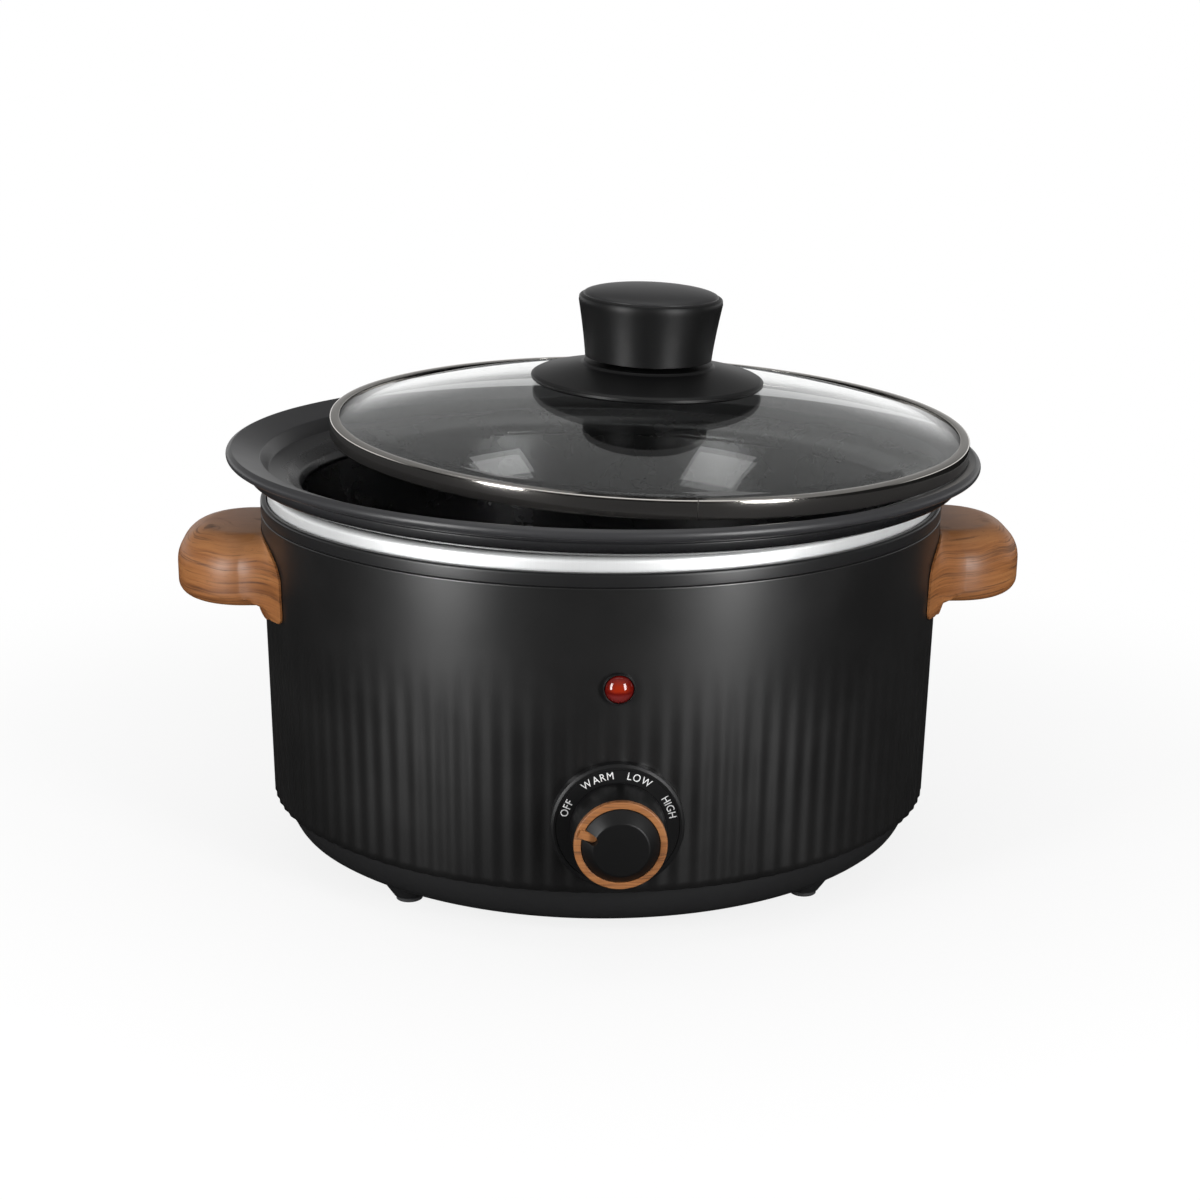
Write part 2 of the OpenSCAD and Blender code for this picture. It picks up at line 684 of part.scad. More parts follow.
module cord_gland() {
  y0 = front_b(gland_z) - 7;
  color("#151515") translate([0, y0, gland_z]) rotate([-90, 0, 0]) difference() {
    union() {
      cylinder(h = 9, r = gland_r);
      translate([0, 0, 7.2]) cylinder(h = 3, r = 9);
      translate([0, 0, 10.2 - eps]) cylinder(h = 4, r1 = 7, r2 = 5.5);
    }
    translate([0, 0, -1]) cylinder(h = 20, r = 3.6);
  }
}

module gland_nut() {
  color("#202020") translate([0, front_b(gland_z) - 6.4, gland_z]) rotate([-90, 0, 0]) difference() {
    cylinder(h = 3, r = 9, $fn = 6);
    translate([0, 0, -1]) cylinder(h = 6, r = gland_r + 0.05);
  }
}

block_y = 70;
block_w = 28;
block_d = 12;
block_h = 12;

module terminal_block() {
  color("#dddbd2") translate([0, block_y, base_z + base_wall]) difference() {
    translate([-block_w / 2, 0, 0]) cube([block_w, block_d, block_h]);
    for (x = [-8, 0, 8]) translate([x, block_d / 2, block_h - 4]) cylinder(h = 5, r = 2);
  }
}

lead_r = 1.2;
lead_end_gap = 0.3;
lead_z = base_z + base_wall + 10;
lead_wall_y = front_b(terminal_z) - 8.5;
lead_end_z = terminal_z - lead_end_gap;

module live_lead() {
  end = [6, -switch_face + 6, dial_z - switch_w / 2 - lead_end_gap];
  color("#6b3f24") tube(soften(soften([[6, block_y - lead_end_gap, lead_z - 4], [6, block_y - 20, lead_z - 2],
    [14, block_y - 50, lead_z], [14, 80 - switch_face, lead_z], [8, 40 - switch_face, lead_z],
    end - [0, -4, 14], end - [0, 0, 7], end])), lead_r);
}

module neutral_lead() {
  start = [-8, block_y + block_d + lead_end_gap, lead_z - 4];
  end = [-11, lead_wall_y, lead_end_z];
  color("#2f4f8f") tube(soften(soften([start, start + [0, 10, 2], [-10, lead_wall_y - 14, lead_z + 10],
    end - [0, 0, 46], end - [0, 0, 16], end])), lead_r);
}

module element_lead() {
  start = [switch_w / 2 + lead_end_gap, -switch_face + 6, dial_z];
  end = [11, lead_wall_y, lead_end_z];
  run = [for (phi = [-76:8:76]) let (p = oval_pt(half_len - 11, phi)) [p[0], p[1], dial_z + 4]];
  color("#8a3a2a") tube(concat([start, start + [6, 0, 1]], run, [end + [5, 0, -30], end + [0.5, 0, -16], end]),
    lead_r);
}

module lamp_leads() {
  y_back = -(lamp_face - 8.5) + 1.2;
  color("#303030") for (side = [-1, 1]) tube([[side * 4, -switch_face + 4.5, switch_top_z + 0.3],
    [side * 4, -switch_face + 4, switch_top_z + 12], [side * 3, y_back, lamp_z - 14],
    [side * 3, y_back, lamp_z - 1]], 0.9);
}

// ---- Bowl ----

module crock() {
  inner_low = bowl_low_half - bowl_wall;
  inner_corner_r = 16;
  inner_corner_half = inner_low + 0.2 - inner_corner_r;
  top_in = bowl_top_half - bowl_wall;
  profile = concat(
    [[bowl_core_half, bowl_floor_z]], arc(bowl_corner_half, bowl_corner_z, bowl_corner_r, -90, -8),
    [[bowl_top_half, bowl_top_z], [bowl_top_half + 0.9, ledge_z - 4.1], [seat_in_half - 2.4, ledge_z - 1.6],
      [seat_in_half, ledge_z], [half_len + 1.5, ledge_z], [flange_half, ledge_z + 1.9],
      [flange_half + 0.5, ledge_z + 5.5], [flange_half - 0.3, ledge_z + 6], [flange_half + 0.3, ledge_z + 6.7],
      [lip_half - 4.4, ledge_z + 7.9]],
    arc(lip_half - 2.1, lip_z - 2.4, 2.1, -60, 60, 6),
    [[lip_half - 1.8, lip_z], [crease_half, crease_z], [half_len - 2.3, ledge_z + 4.8],
      [half_len - 2.6, ledge_z + 4], [recess_half, ledge_z + 3.4],
      [half_len - 11, ledge_z + 1.1], [half_len - 14, ledge_z - 0.1], [half_len - 15.8, ledge_z - 1.9],
      [half_len - 17, ledge_z - 4.3], [top_in, bowl_top_z]],
    arc(inner_corner_half, bowl_inner_floor_z + inner_corner_r, inner_corner_r, -8, -90),
    [[bowl_core_half, bowl_inner_floor_z]]);
  color("#121213") lean_bowl() {
    oval_sweep() polygon(profile);
    oval_plate(bowl_core_half + seam_lap, bowl_floor_z, bowl_inner_floor_z);
  }
}

module lean_bowl() {
  translate([0, 0, bowl_pivot_z]) rotate([0, bowl_lean, 0]) translate([0, 0, -bowl_pivot_z]) children();
}

// ---- Lid, in a frame whose plane is the band's top ----

module lid_place() {
  translate([lid_x, 0, lid_z]) rotate([lid_rise, lid_fall, 0]) children();
}

function dome_z(s) = s > 0.96 ? glass_edge_z : glass_edge_z + (dome_h - glass_edge_z) * (1 - pow(s / 0.96, 2));

module lid_glass() {
  steps = [1, 0.96, 0.9, 0.8, 0.66, 0.5, 0.32, 0.14];
  n = 96;
  function ring(s, drop) = [for (i = [0:n - 1]) let (p = s * oval_pt(glass_half, oval_phi(i / n)))
    [p[0], p[1], dome_z(s) - drop]];
  rings = concat([for (i = [len(steps) - 1:-1:0]) ring(steps[i], glass_t)], [for (s = steps) ring(s, 0)]);
  m = len(rings);
  color("#9aa0a0", 0.35) lid_place() difference() {
    polyhedron(points = concat([for (r = rings) for (p = r) p], [[0, 0, dome_z(0) - glass_t], [0, 0, dome_z(0)]]),
      faces = concat(
        [for (j = [0:m - 2]) for (i = [0:n - 1])
          let (a = j * n + i, b = j * n + (i + 1) % n) each [[a, a + n, b], [b, a + n, b + n]]],
        [for (i = [0:n - 1]) [(i + 1) % n, m * n, i]],
        [for (i = [0:n - 1]) [(m - 1) * n + i, m * n + 1, (m - 1) * n + (i + 1) % n]]));
    translate([knob_shift, 0, -20]) cylinder(h = 60, r = screw_r + 0.5);
  }
}

module lid_band() {
  low = glass_edge_z - glass_t - glass_gap;
  color("#b4aea4") lid_place() oval_sweep() polygon([
    [lid_half - band_top_w, 0], [lid_half - 0.5, 0], [lid_half, -0.5], [lid_half, -band_h + 0.6],
    [lid_half - 0.6, -band_h], [lid_half - 1.6, -band_h], [lid_half - 1.6, -band_h + band_t],
    [lid_half - 0.8, -band_h + band_t], [lid_half - band_t, -band_h + 0.9], [lid_half - band_t, low - band_t],
    [lid_half - band_top_w, low - band_t], [lid_half - band_top_w, low], [lid_half - band_t, low],
    [lid_half - band_t, -band_t], [lid_half - band_top_w, -band_t]]);
}

module lid_axis() {
  lid_place() translate([knob_shift, 0, dome_h]) rotate([-knob_lean, 0, 0]) translate([0, 0, -dome_h]) children();
}

collar_h = 7;
knob_base_z = skirt_z + collar_h + 0.1;
knob_cap_rise = 3.7;
washer_drop = 2.2;
washer_z = dome_z(0) - glass_t - washer_drop;

module lid_knob_skirt() {
  r = skirt_d / 2;
  collar_r = knob_foot_d / 2 + 0.9;
  color("#1c1c1d") lid_axis() rotate_extrude() polygon([[screw_r + 0.3, skirt_z - 0.1], [20, skirt_z - 0.1],
    [r - 8, skirt_z - 1], [r - 0.8, skirt_z - 1.3], [r, skirt_z - 0.6], [r, skirt_z + 0.4],
    [r - 0.5, skirt_z + 1], [r - 1.6, skirt_z + 1.4], [collar_r + 4, skirt_z + 5.3], [collar_r + 1.5, skirt_z + 5.9],
    [collar_r, skirt_z + 6.6], [collar_r - 0.4, skirt_z + collar_h], [screw_r + 0.3, skirt_z + collar_h]]);
}

module lid_knob() {
  foot_r = knob_foot_d / 2;
  top_r = knob_top_d / 2;
  z0 = knob_base_z;
  z1 = skirt_z + knob_h;
  cap_r = top_r - 1.8;
  boss_r = 6;
  color("#1a1a1b") lid_axis() rotate_extrude() polygon(concat(
    [[screw_r + 0.05, z0], [foot_r - 0.2, z0], [foot_r, z0 + 0.3]],
    [for (i = [1:6]) let (t = i / 6) [foot_r + (top_r - foot_r) * pow(t, 1.3), z0 + 0.3 + (z1 - 2.3 - z0) * t]],
    arc(top_r - 1.6, z1 - 1, 1.6, 30, 90, 3),
    [[cap_r + 0.1, z1 + 0.6], [cap_r + 0.1, z1 - 2.5], [boss_r, z1 - 2.5], [boss_r, z1 - 8],
      [screw_r + 0.05, z1 - 8]]));
}

module lid_knob_cap() {
  z1 = skirt_z + knob_h;
  cap_r = knob_top_d / 2 - 1.8;
  color("#202021") lid_axis() rotate_extrude() polygon(concat([[0, z1 - 2.4], [cap_r, z1 - 2.4], [cap_r, z1 + 0.7]],
    [for (i = [1:6]) let (t = i / 6) [cap_r * cos(90 * t), z1 + 0.7 + knob_cap_rise * sin(90 * t)]]));
}

module lid_knob_screw() {
  top = knob_base_z + 18;
  head_h = 2.6;
  color("#b0b3b5") lid_axis() {
    translate([0, 0, washer_z - head_h / 2]) cylinder(h = top - washer_z + head_h / 2, r = screw_r);
    translate([0, 0, washer_z - head_h]) cylinder(h = head_h, r = 5);
  }
}

module lid_knob_washer() {
  t = 1.6;
  color("#3a3a3a") lid_axis() difference() {
    translate([0, 0, washer_z]) cylinder(h = t, r = 9);
    translate([0, 0, washer_z - 1]) cylinder(h = t + 2, r = screw_r + 0.1);
  }
}

module place() {
  translate([0, y_shift, 0]) children();
}

place() housing();
place() trim_ring();
place() heating_pan();
place() heating_band();
place() band_terminals();
place() insulation_wrap();
place() thermal_fuse();
place() fuse_clip();
place() pan_stud();
place() stud_nut();
place() base_pan();
place() foot(-1, -1);  // foot_front_left
place() foot(1, -1);  // foot_front_right
place() foot(-1, 1);  // foot_rear_left
place() foot(1, 1);  // foot_rear_right
place() pad(-1, -1);  // pad_front_left
place() pad(1, -1);  // pad_front_right
place() pad(-1, 1);  // pad_rear_left
place() pad(1, 1);  // pad_rear_right
place() foot_screws();
place() left_handle();
place() right_handle();
place() handle_screws();
place() dial_plate();
place() rotary_switch();
place() switch_nut();
place() indicator_bezel();
place() indicator_lens();
place() neon_lamp();
place() cord_gland();
place() gland_nut();
place() terminal_block();
place() live_lead();
place() neutral_lead();
place() element_lead();
place() lamp_leads();
place() switch_shaft();
place() control_knob();
place() knob_ring();
place() knob_cap();
place() crock();
place() lid_glass();
place() lid_band();
place() lid_knob();
place() lid_knob_skirt();
place() lid_knob_cap();
place() lid_knob_screw();
place() lid_knob_washer();
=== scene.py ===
import bpy
import bmesh
import json
import math
from mathutils import Matrix, Vector


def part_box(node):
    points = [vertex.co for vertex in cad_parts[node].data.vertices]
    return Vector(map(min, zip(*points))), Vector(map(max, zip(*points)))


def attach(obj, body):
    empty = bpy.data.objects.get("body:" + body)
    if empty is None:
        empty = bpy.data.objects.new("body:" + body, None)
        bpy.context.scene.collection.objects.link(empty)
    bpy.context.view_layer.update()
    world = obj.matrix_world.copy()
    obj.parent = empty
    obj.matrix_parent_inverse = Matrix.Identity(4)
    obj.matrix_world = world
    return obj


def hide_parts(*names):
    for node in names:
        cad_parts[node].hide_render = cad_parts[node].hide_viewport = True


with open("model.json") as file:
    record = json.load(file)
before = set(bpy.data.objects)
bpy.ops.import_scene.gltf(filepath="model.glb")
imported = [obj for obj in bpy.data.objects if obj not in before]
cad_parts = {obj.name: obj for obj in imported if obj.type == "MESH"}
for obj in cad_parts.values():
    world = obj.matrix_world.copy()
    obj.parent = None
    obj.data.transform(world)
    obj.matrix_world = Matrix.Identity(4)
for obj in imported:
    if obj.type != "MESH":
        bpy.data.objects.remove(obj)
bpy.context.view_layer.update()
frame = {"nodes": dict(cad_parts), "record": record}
mm = 0.001
lowTrim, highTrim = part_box("trim_ring")
shiftY = (lowTrim.y + highTrim.y) / 2 / mm  # the oval's centre lies this far behind the origin
print("frame loaded,", len(frame["nodes"]), "nodes")


class Field:
    def __init__(self, tree, socket=None):
        self.tree, self.socket = tree, socket

    def node(self, kind, settings=None, inputs=None, output=0):
        made = self.tree.nodes.new(kind)
        for key, value in (settings or {}).items():
            if key == "stops":
                ramp = made.color_ramp
                ramp.elements[0].position, ramp.elements[0].color = value[0]
                ramp.elements[1].position, ramp.elements[1].color = value[-1]
                for place, colour in value[1:-1]:
                    ramp.elements.new(place).color = colour
            else:
                setattr(made, key, value)
        for key, value in (inputs or {}).items():
            if isinstance(value, Field):
                self.tree.links.new(value.socket, made.inputs[key])
            else:
                made.inputs[key].default_value = value
        return Field(self.tree, None if output is None else made.outputs[output])  # the tree's end has no output

    def math(self, operation, *values):
        return self.node("ShaderNodeMath", {"operation": operation}, dict(enumerate(values)))

    def alone(self, operation):
        return self.math(operation, self)

    def vector(self, operation, other):
        return self.node("ShaderNodeVectorMath", {"operation": operation}, {0: self, 1: other}, "Vector")

    def part(self, axis):
        return self.node("ShaderNodeSeparateXYZ", {}, {0: self}, axis)

    def __add__(self, other):
        return self.math("ADD", self, other)

    __radd__ = __add__

    def __sub__(self, other):
        return self.math("SUBTRACT", self, other)

    def __rsub__(self, other):
        return self.math("SUBTRACT", other, self)

    def __mul__(self, other):
        return self.math("MULTIPLY", self, other)

    __rmul__ = __mul__

    def __truediv__(self, other):
        return self.math("DIVIDE", self, other)

    def __pow__(self, other):
        return self.math("POWER", self, other)

    def clamp(self):
        return self.node("ShaderNodeClamp", {}, {"Value": self})

    def ease(self, low, high):
        return self.node("ShaderNodeMapRange", {"interpolation_type": "SMOOTHSTEP"},
                         {"Value": self, "From Min": low, "From Max": high})

    def blend(self, first, second):
        return self.node("ShaderNodeMix", {"data_type": "RGBA"},
                         {"Factor": self, "A": first, "B": second}, "Result")

    def bump(self, strength, distance):
        return self.node("ShaderNodeBump", {},
                         {"Height": self, "Strength": strength, "Distance": distance}, "Normal")


def space(field, source, scale):
    raw = field.node("ShaderNodeTexCoord", output=source)
    return field.node("ShaderNodeMapping", {}, {"Vector": raw, "Scale": scale})


def objectSpace(field, scale=(1, 1, 1)):
    return space(field, "Object", scale)


def surfaceSpace(field, scale=(1, 1, 1)):  # metres along and across a swept piece
    return space(field, "UV", scale)


def grain(where, scale, detail=3.0, rough=0.55, distortion=0.0):
    return where.node("ShaderNodeTexNoise", {}, {
        "Vector": where, "Scale": scale, "Detail": detail, "Roughness": rough, "Distortion": distortion})


def colour(red, green, blue):  # from the 0 to 255 values that a screen shows
    linear = [(c / 255 / 12.92) if c < 10.3 else ((c / 255 + 0.055) / 1.055) ** 2.4 for c in (red, green, blue)]
    return (*linear, 1.0)


def finishOf(name, fixed, varied=None):
    material = bpy.data.materials.new(name)
    material.use_nodes = True
    tree = material.node_tree
    shader = tree.nodes["Principled BSDF"]
    for key, value in fixed.items():
        shader.inputs[key].default_value = value
    for key, value in (varied(Field(tree)) if varied else {}).items():
        tree.links.new(value.socket, shader.inputs[key])
    return material


oval = {"halfLength": 145.0, "difference": 16.5}  # four arcs; an oval is named by its half length in millimetres
endCentre = 2 * oval["difference"]
sideCentre = 1.5 * oval["difference"]
endHalf = math.atan(0.75)
sideHalf = math.pi / 2 - endHalf


def sideRadius(half):
    return half - oval["difference"] + sideCentre


endLength = 2 * endHalf * (oval["halfLength"] - endCentre)
sideLength = 2 * sideHalf * sideRadius(oval["halfLength"])
perimeter = 2 * (endLength + sideLength)


def ovalAngle(share):  # direction of the outward normal at a share of the way round
    way = ((share % 1) * perimeter + endLength / 2) % perimeter
    turn = math.pi if way >= perimeter / 2 else 0
    way %= perimeter / 2
    if way < endLength:
        return turn + way / (oval["halfLength"] - endCentre) - endHalf
    return turn + endHalf + (way - endLength) / sideRadius(oval["halfLength"])


def ovalPoint(half, angle):
    angle %= 2 * math.pi
    c, s = math.cos(angle), math.sin(angle)
    if angle <= endHalf or angle >= 2 * math.pi - endHalf:
        return endCentre + (half - endCentre) * c, (half - endCentre) * s
    if angle < math.pi - endHalf:
        return sideRadius(half) * c, -sideCentre + sideRadius(half) * s
    if angle <= math.pi + endHalf:
        return -endCentre + (half - endCentre) * c, (half - endCentre) * s
    return sideRadius(half) * c, sideCentre + sideRadius(half) * s


def rounded(points, steps=5):  # a point with a third number gets a corner of about that radius
    out = []
    for i, point in enumerate(points):
        here = Vector(point[:2])
        radius = point[2] if len(point) > 2 else 0
        if not radius:
            out.append(tuple(here))
            continue
        before = Vector(points[i - 1][:2]) - here
        after = Vector(points[(i + 1) % len(points)][:2]) - here
        half = before.angle(after) / 2
        reach = min(radius / max(math.tan(half), 1e-3), before.length * 0.49, after.length * 0.49)
        first, last = here + before.normalized() * reach, here + after.normalized() * reach
        for k in range(steps + 1):
            t = k / steps
            out.append(tuple(first * (1 - t) ** 2 + here * 2 * t * (1 - t) + last * t ** 2))
    return out


def arcPoints(x, y, radius, start, end, steps=8):
    return [(x + radius * math.cos(math.radians(start + (end - start) * k / steps)),
             y + radius * math.sin(math.radians(start + (end - start) * k / steps))) for k in range(steps + 1)]


ovalPlace = Matrix.Translation((0, shiftY, 0))


def meshOf(name, points, faces, place=ovalPlace, uvs=None, sharp=40):
    mesh = bpy.data.meshes.new(name)
    mesh.from_pydata([(place @ Vector(p)) * mm for p in points], [], faces)
    if uvs:
        layer = mesh.uv_layers.new(name="around")
        flat = [value * mm for face in uvs for pair in face for value in pair]
        layer.data.foreach_set("uv", flat)
    mesh.shade_smooth()
    mesh.set_sharp_from_angle(angle=math.radians(sharp))
    piece = bpy.data.objects.new(name, mesh)
    bpy.context.scene.collection.objects.link(piece)
    return piece


def tidyMesh(piece, merge=1e-6):  # closes seams and poles, and turns faces outwards
    work = bmesh.new()
    work.from_mesh(piece.data)
    bmesh.ops.remove_doubles(work, verts=work.verts, dist=merge)
    bmesh.ops.dissolve_degenerate(work, dist=merge / 2, edges=work.edges)
    bmesh.ops.recalc_face_normals(work, faces=work.faces)
    work.to_mesh(piece.data)
    work.free()
    return piece


def gridFaces(rows, columns, closedRows=False, closedColumns=True):
    faces = []
    for j in range(rows if closedRows else rows - 1):
        for i in range(columns if closedColumns else columns - 1):
            k, m = (i + 1) % columns, (j + 1) % rows
            faces.append((j * columns + i, j * columns + k, m * columns + k, m * columns + i))
    return faces


def fanFaces(row, count, centre):  # closes the first row or a later one round a middle point
    pairs = [(row * count + (i + 1) % count, row * count + i) for i in range(count)]
    return [(centre, *(pair[::-1] if row else pair)) for pair in pairs]


def stripFaces(row, width):  # closes a ring with strips between its two halves
    first, last = row * width, row * width + width - 1
    return [(first + i, last - i, last - i - 1, first + i + 1) for i in range(width // 2 - 1)]


def sweep(name, ringAt, profile, count, place, around, closed=True, sharp=40):
    sign = sum(p[0] * q[1] - q[0] * p[1] for p, q in zip(profile, profile[1:] + profile[:1]))
    line = profile if sign > 0 else profile[::-1]
    rows, points, uvs = len(line), [], []
    faces = gridFaces(rows, count, closedRows=closed)
    for half, height in line:
        points += [(*ringAt(half, i / count), height) for i in range(count)]
    run = [0.0]
    for p, q in zip(line, line[1:] + line[:1]):
        run.append(run[-1] + math.dist(p, q))
    sides = [(around * i / count, around * (i + 1) / count) for i in range(count)]
    for j in range(rows if closed else rows - 1):
        uvs += [((left, run[j]), (right, run[j]), (right, run[j + 1]), (left, run[j + 1])) for left, right in sides]
    if not closed:  # the first and last rings are closed with flat fans
        for row in (0, rows - 1):
            faces += fanFaces(row, count, len(points))
            points.append((0, 0, line[row][1]))
            uvs += [((0, 0), (left, run[row]), (right, run[row])) for left, right in sides]
    return meshOf(name, points, faces, place, uvs, sharp)


def ovalRing(half, share):
    return ovalPoint(half, ovalAngle(share))


def ovalSweep(name, profile, count=416, place=ovalPlace, sharp=40):
    return sweep(name, ovalRing, profile, count, place, perimeter, sharp=sharp)


def ovalDish(name, profile, count=416, place=ovalPlace, sharp=40):  # the profile runs from under the floor to over it
    middle = endCentre + 1
    line = [(middle, profile[0][1])] + profile + [(middle, profile[-1][1])]
    return sweep(name, ovalRing, line, count, place, perimeter, closed=False, sharp=sharp)


def lathe(name, profile, place, count=128, sharp=40):
    def circle(radius, share):
        return radius * math.cos(2 * math.pi * share), radius * math.sin(2 * math.pi * share)
    widest = 2 * math.pi * max(p[0] for p in profile)
    return tidyMesh(sweep(name, circle, profile, count, place, widest, sharp=sharp))


def bake(piece):  # makes the modifiers' result a plain mesh
    bpy.context.view_layer.update()
    shown = piece.evaluated_get(bpy.context.evaluated_depsgraph_get())
    made = bpy.data.meshes.new_from_object(shown)
    piece.modifiers.clear()
    old = piece.data
    piece.data = made
    bpy.data.meshes.remove(old)
    return piece


def combine(piece, other, operation, sharp=35):
    change = piece.modifiers.new("combine", "BOOLEAN")
    change.operation, change.object, change.solver = operation, other, "EXACT"
    bake(piece)
    bpy.data.objects.remove(other)
    piece.data.shade_smooth()
    piece.data.set_sharp_from_angle(angle=math.radians(sharp))
    return piece


def dress(piece, body, slot, *nodes, material=None):
    piece.data.materials.clear()
    piece.data.materials.append(material or finishes[slot])
    if nodes:
        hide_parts(*nodes)
    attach(piece, body)
    return piece


def frontPlace(distance, height):  # local Z points out of the front
    return Matrix.Translation((0, shiftY - distance, height)) @ Matrix.Rotation(math.pi / 2, 4, "X")


camera = {"away": 866.14, "height": 373.15, "pitch": 17.071, "yaw": 3.283, "roll": 0.593, "lens": 62.298,
          "film": 36.0, "shift": -0.00048}


def makeCamera():
    yaw, pitch, roll = (math.radians(camera[k]) for k in ("yaw", "pitch", "roll"))
    ahead = Vector((math.sin(yaw) * math.cos(pitch), math.cos(yaw) * math.cos(pitch), -math.sin(pitch)))
    level = Vector((math.cos(yaw), -math.sin(yaw), 0))
    up = level.cross(ahead)
    right = level * math.cos(roll) + up * math.sin(roll)
    top = up * math.cos(roll) - level * math.sin(roll)
    data = bpy.data.cameras.new("camera")
    data.lens, data.sensor_width, data.shift_x = camera["lens"], camera["film"], camera["shift"]
    data.clip_start, data.clip_end = 0.01, 50.0
    made = bpy.data.objects.new("camera", data)
    spot = Vector((-camera["away"] * math.sin(yaw), -camera["away"] * math.cos(yaw) + shiftY, camera["height"])) * mm
    made.matrix_world = Matrix(((right.x, top.x, -ahead.x, spot.x), (right.y, top.y, -ahead.y, spot.y),
                                (right.z, top.z, -ahead.z, spot.z), (0, 0, 0, 1)))
    bpy.context.scene.collection.objects.link(made)
    bpy.context.scene.camera = made


makeCamera()
print("camera set")


def powderCoat(field):
    where = objectSpace(field)
    smudge = grain(where, 14, 4, 0.6).ease(0.35, 0.7)
    fine = grain(where, 2600, 2)
    return {
        "Base Color": smudge.blend((0.0045, 0.0044, 0.0045, 1), (0.0062, 0.006, 0.006, 1)),
        "Roughness": smudge * 0.05 + fine * 0.05 + 0.3,
        "Normal": fine.bump(0.10, 0.00003),
    }


def satinPlastic(dark, rough):
    def varied(field):
        where = objectSpace(field)
        fine = grain(where, 5200, 2)
        cloud = grain(where, 24, 3)
        low, high = dark * 0.9, dark * 1.15
        return {
            "Base Color": cloud.blend((low, low, dark * 0.94, 1), (high, high, dark * 1.2, 1)),
            "Roughness": cloud * 0.07 + fine * 0.04 + (rough - 0.05),
            "Normal": fine.bump(0.06, 0.00002),
        }
    return varied


def brushedCollar(field):  # fine upright brushing
    lines = grain(surfaceSpace(field, (1, 0.012, 1)), 5200, 3, 0.65)
    patches = grain(surfaceSpace(field, (1, 0.1, 1)), 60, 2)
    return {
        "Base Color": lines.blend((0.84, 0.85, 0.85, 1), (0.95, 0.96, 0.96, 1)),
        "Roughness": lines * 0.16 + patches * 0.1 + 0.34,
        "Normal": lines.bump(0.25, 0.00004),
    }


bandSeam = {"at": 0.6522, "dark": 0.00009, "clear": 0.00022}  # metres: along the band, and from the joint


def bandSteel(field):  # drawn lines along the band, and the butt joint of its strip
    lines = grain(surfaceSpace(field, (0.02, 1, 1)), 9000, 3, 0.6)
    away = (surfaceSpace(field).part("X") - bandSeam["at"]).alone("ABSOLUTE")
    seam = 1 - away.ease(bandSeam["dark"], bandSeam["clear"])
    return {
        "Base Color": seam.blend((0.72, 0.69, 0.65, 1), (0.03, 0.028, 0.026, 1)),
        "Roughness": lines * 0.06 + seam * 0.5 + 0.07,
        "Normal": (lines - seam * 4).bump(0.04, 0.00002),
    }


glaze = {"floorDull": 0.055, "wallGlossy": 0.085, "wallEnds": 0.166, "lipSatin": 0.173}  # heights in metres


def stonewareGlaze(field):
    where = objectSpace(field)
    specks = where.node("ShaderNodeTexVoronoi", {}, {"Vector": where, "Scale": 900.0, "Randomness": 1.0})
    dots = 1 - specks.ease(0.12, 0.3)
    ripple = grain(where, 60, 3)
    flange = where.part("Z").ease(glaze["wallEnds"], glaze["lipSatin"])
    floor = 1 - where.part("Z").ease(glaze["floorDull"], glaze["wallGlossy"])
    tone = flange.blend((0.005, 0.005, 0.0055, 1), (0.028, 0.028, 0.03, 1))
    return {
        "Base Color": (dots * 0.35).blend(tone, (0.035, 0.035, 0.038, 1)),
        "Roughness": ripple * 0.06 + flange * 0.1 + floor * 0.3 + 0.24,
        "Normal": (grain(where, 150, 2) + ripple * 2).bump(0.05, 0.00008),
    }


def walnut(scale=1.0):  # a printed wood grain in level layers that swell a little
    def varied(field):
        where = objectSpace(field)
        swell = where.node("ShaderNodeCombineXYZ", {}, {"Z": grain(where, 26 * scale, 1.5) * (0.009 / scale)})
        layered = where.vector("ADD", swell)

        def streaks(along, across, detail, distortion):
            size = (along * scale, along * 1.7 * scale, across * scale)
            return grain(layered.vector("MULTIPLY", size), 1.0, detail, 0.6, distortion)

        figure = (streaks(9, 80, 3, 0.4) * 0.7 + streaks(20, 900, 4, 0.3) * 0.55 - 0.1).clamp()
        lines = streaks(22, 950, 3, 0.3).ease(0.53, 0.68)
        pores = grain(objectSpace(field, (120 * scale, 900 * scale, 2400 * scale)), 1.0, 2, 0.6).ease(0.6, 0.72)
        tone = figure.node("ShaderNodeValToRGB", {"stops": [
            (0.2, colour(80, 45, 22)), (0.4, colour(115, 70, 36)), (0.52, colour(140, 89, 48)),
            (0.66, colour(153, 102, 58)), (0.85, colour(125, 79, 42))]}, {"Fac": figure})
        return {
            "Base Color": (lines * 0.6 + pores * 0.3).clamp().blend(tone, colour(58, 33, 18)),
            "Roughness": 0.36 + figure * 0.1 + lines * 0.12,
            "Normal": (figure * 0.3 - lines * 0.5 - pores).bump(0.1, 0.00005),
        }
    return varied


lensLow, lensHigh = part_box("indicator_lens")
lensMiddle = (lensLow.z + lensHigh.z) / 2


def redLens(field):
    where = objectSpace(field)
    ribs = grain(where, 900, 2)
    across, above = where.part("X") / mm, (where.part("Z") - lensMiddle) / mm
    radius = (across * across + above * above) ** 0.5
    glow = (1 - radius.ease(1.5, 5.6)) * above.ease(-1.2, 0.4)  # painted glow: the upper half, lit through by its reflector, is painted brighter orange towards the middle and darker towards the edges
    pale = above.ease(-0.8, -2.4) * (1 - radius.ease(3.6, 5.4))
    tone = glow.blend((0.09, 0.003, 0.002, 1), (0.24, 0.016, 0.004, 1))
    return {"Base Color": (pale * 0.4).blend(tone, (0.22, 0.035, 0.035, 1)), "Roughness": ribs * 0.05 + 0.06}


def clearGlass(field):
    smear = grain(objectSpace(field), 40, 4)
    return {"Roughness": smear.ease(0.62, 0.9) * 0.02, "Normal": smear.bump(0.01, 0.0001)}


